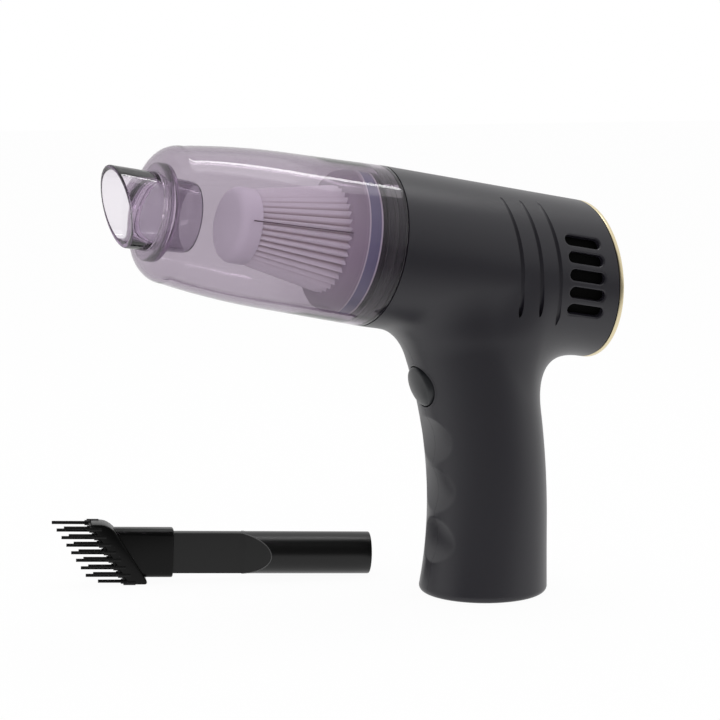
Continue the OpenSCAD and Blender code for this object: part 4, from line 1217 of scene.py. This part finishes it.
def towards_opening(nodes, link, coordinate, stops):
    """Tone that changes towards the open side of the studio."""
    coords = nodes.new("ShaderNodeTexCoord")
    facing = nodes.new("ShaderNodeVectorMath")
    facing.operation = "DOT_PRODUCT"
    facing.inputs[1].default_value = STUDIO_OPENING
    ramp = colour_ramp(nodes, *stops, smooth=True)
    link(coords.outputs[coordinate], facing.inputs[0])
    link(facing.outputs["Value"], ramp.inputs["Fac"])
    return ramp.outputs["Color"]


def studio():
    """White surround; opaque surfaces mirror it with a darker side where the photograph was taken from."""
    world = bpy.data.worlds.new("studio")
    bpy.context.scene.world = world
    world.use_nodes = True
    nodes, link = world.node_tree.nodes, world.node_tree.links.new
    plain, out = nodes["Background"], nodes["World Output"]
    plain.inputs["Color"].default_value = (1, 1, 1, 1)
    level = math_node(nodes, "MULTIPLY_ADD", 1 - WORLD_LIGHT, WORLD_LIGHT)
    link(seen_plainly(nodes, link), level.inputs[0])
    link(level.outputs[0], plain.inputs["Strength"])
    lit = nodes.new("ShaderNodeBackground")
    lit.inputs["Strength"].default_value = MIRRORED_LIGHT
    link(towards_opening(nodes, link, "Generated", MIRRORED_RANGE), lit.inputs["Color"])
    mix = nodes.new("ShaderNodeMixShader")
    link(mirrored_plainly(nodes, link), mix.inputs[0])
    link(plain.outputs[0], mix.inputs[1])
    link(lit.outputs[0], mix.inputs[2])
    link(mix.outputs[0], out.inputs["Surface"])


def floor_material():
    """Pale matte floor that is seen nearly white and is mirrored with a darker front."""
    made, nodes, link = new_material("pale_floor")
    made.cycles.emission_sampling = "NONE"
    nodes.remove(nodes["Principled BSDF"])
    matte = nodes.new("ShaderNodeBsdfDiffuse")
    matte.inputs["Color"].default_value = (*FLOOR_COLOUR, 1)
    glow = nodes.new("ShaderNodeEmission")
    mirrored = nodes.new("ShaderNodeEmission")
    link(towards_opening(nodes, link, "Object", APRON_RANGE), mirrored.inputs["Color"])
    share = math_node(nodes, "MULTIPLY", FLOOR_WHITE_SHARE)
    seen, gloss = nodes.new("ShaderNodeMixShader"), nodes.new("ShaderNodeMixShader")
    link(seen_plainly(nodes, link), share.inputs[0])
    link(share.outputs[0], seen.inputs[0])
    link(matte.outputs[0], seen.inputs[1])
    link(glow.outputs[0], seen.inputs[2])
    link(mirrored_plainly(nodes, link), gloss.inputs[0])
    link(seen.outputs[0], gloss.inputs[1])
    link(mirrored.outputs[0], gloss.inputs[2])
    link(gloss.outputs[0], nodes["Material Output"].inputs["Surface"])
    return made


def floor():
    bm = bmesh.new()
    bmesh.ops.create_grid(bm, x_segments=1, y_segments=1, size=FLOOR_HALF)
    mesh = bpy.data.meshes.new("floor")
    bm.to_mesh(mesh)
    bm.free()
    mesh.materials.append(floor_material())
    ground = bpy.data.objects.new("floor", mesh)
    bpy.context.scene.collection.objects.link(ground)


def lamp(name, at, towards, along, size, power, mirrored=True):
    """Soft rectangular lamp whose longer side runs along a direction."""
    data = bpy.data.lights.new(name, "AREA")
    data.shape = "RECTANGLE"
    data.size, data.size_y = size
    data.energy = power
    made = bpy.data.objects.new(name, data)
    made.location = at
    made.visible_glossy = mirrored
    back = (Vector(at) - Vector(towards)).normalized()
    across = back.cross(Vector(along)).normalized()
    made.rotation_mode = "QUATERNION"
    made.rotation_quaternion = Matrix((across.cross(back), across, back)).transposed().to_quaternion()
    bpy.context.scene.collection.objects.link(made)


CUP_MIDDLE = (-0.1, -0.02, 0.18)
OBJECT_MIDDLE = (-0.1, 0.0, 0.15)
STRIP_RUN = (0.237, -0.117, -0.074)
LEVEL = (1, 0, 0)


def lamps():
    lamp("top_softbox", (0.05, 0.25, 1.3), (-0.05, 0.0, 0.1), LEVEL, (1.2, 1.2), 1.5)
    lamp("strip", (0.21, 0.10, 0.785), CUP_MIDDLE, STRIP_RUN, (0.42, 0.05), 0.5)
    lamp("wide_strip", (0.2, -0.02, 0.8), CUP_MIDDLE, STRIP_RUN, (0.42, 0.26), 0.5)
    lamp("front_fill", (-0.7, -1.3, 0.9), OBJECT_MIDDLE, LEVEL, (1.0, 1.0), 3.5, mirrored=False)
    lamp("low_fill", (-1.0, -1.0, 0.12), OBJECT_MIDDLE, LEVEL, (0.8, 0.2), 2.0, mirrored=False)


CAMERA_AT = (-0.471945, -0.795416, 0.223985)
CAMERA_RIGHT = Vector((0.88778, -0.46026, 0.0))
CAMERA_UP = Vector((0.06187, 0.11935, 0.99092))
CAMERA_LENS = 110.49
CAMERA_SENSOR = 36.0


def camera():
    data = bpy.data.cameras.new("camera")
    data.sensor_width = CAMERA_SENSOR
    data.lens = CAMERA_LENS
    made = bpy.data.objects.new("camera", data)
    made.location = CAMERA_AT
    made.rotation_mode = "QUATERNION"
    turn = Matrix((CAMERA_RIGHT, CAMERA_UP, CAMERA_RIGHT.cross(CAMERA_UP))).transposed()
    made.rotation_quaternion = turn.to_quaternion()
    bpy.context.scene.collection.objects.link(made)
    bpy.context.scene.camera = made


casing_halves()
boss_sleeves()
exhaust_sleeve()
front_spigot()
rear_trim()
power_button()
button_ring()
dust_cup()
inlet_nozzle()
filter_nose()
filter_frame()
filter_rings()
paper_joint()
filter_pleats()
crevice_tool()
facet_rims()
brush_head()
brush_bristles()
dress_cad()
studio()
floor()
lamps()
camera()
bpy.context.scene.view_settings.view_transform = "Standard"
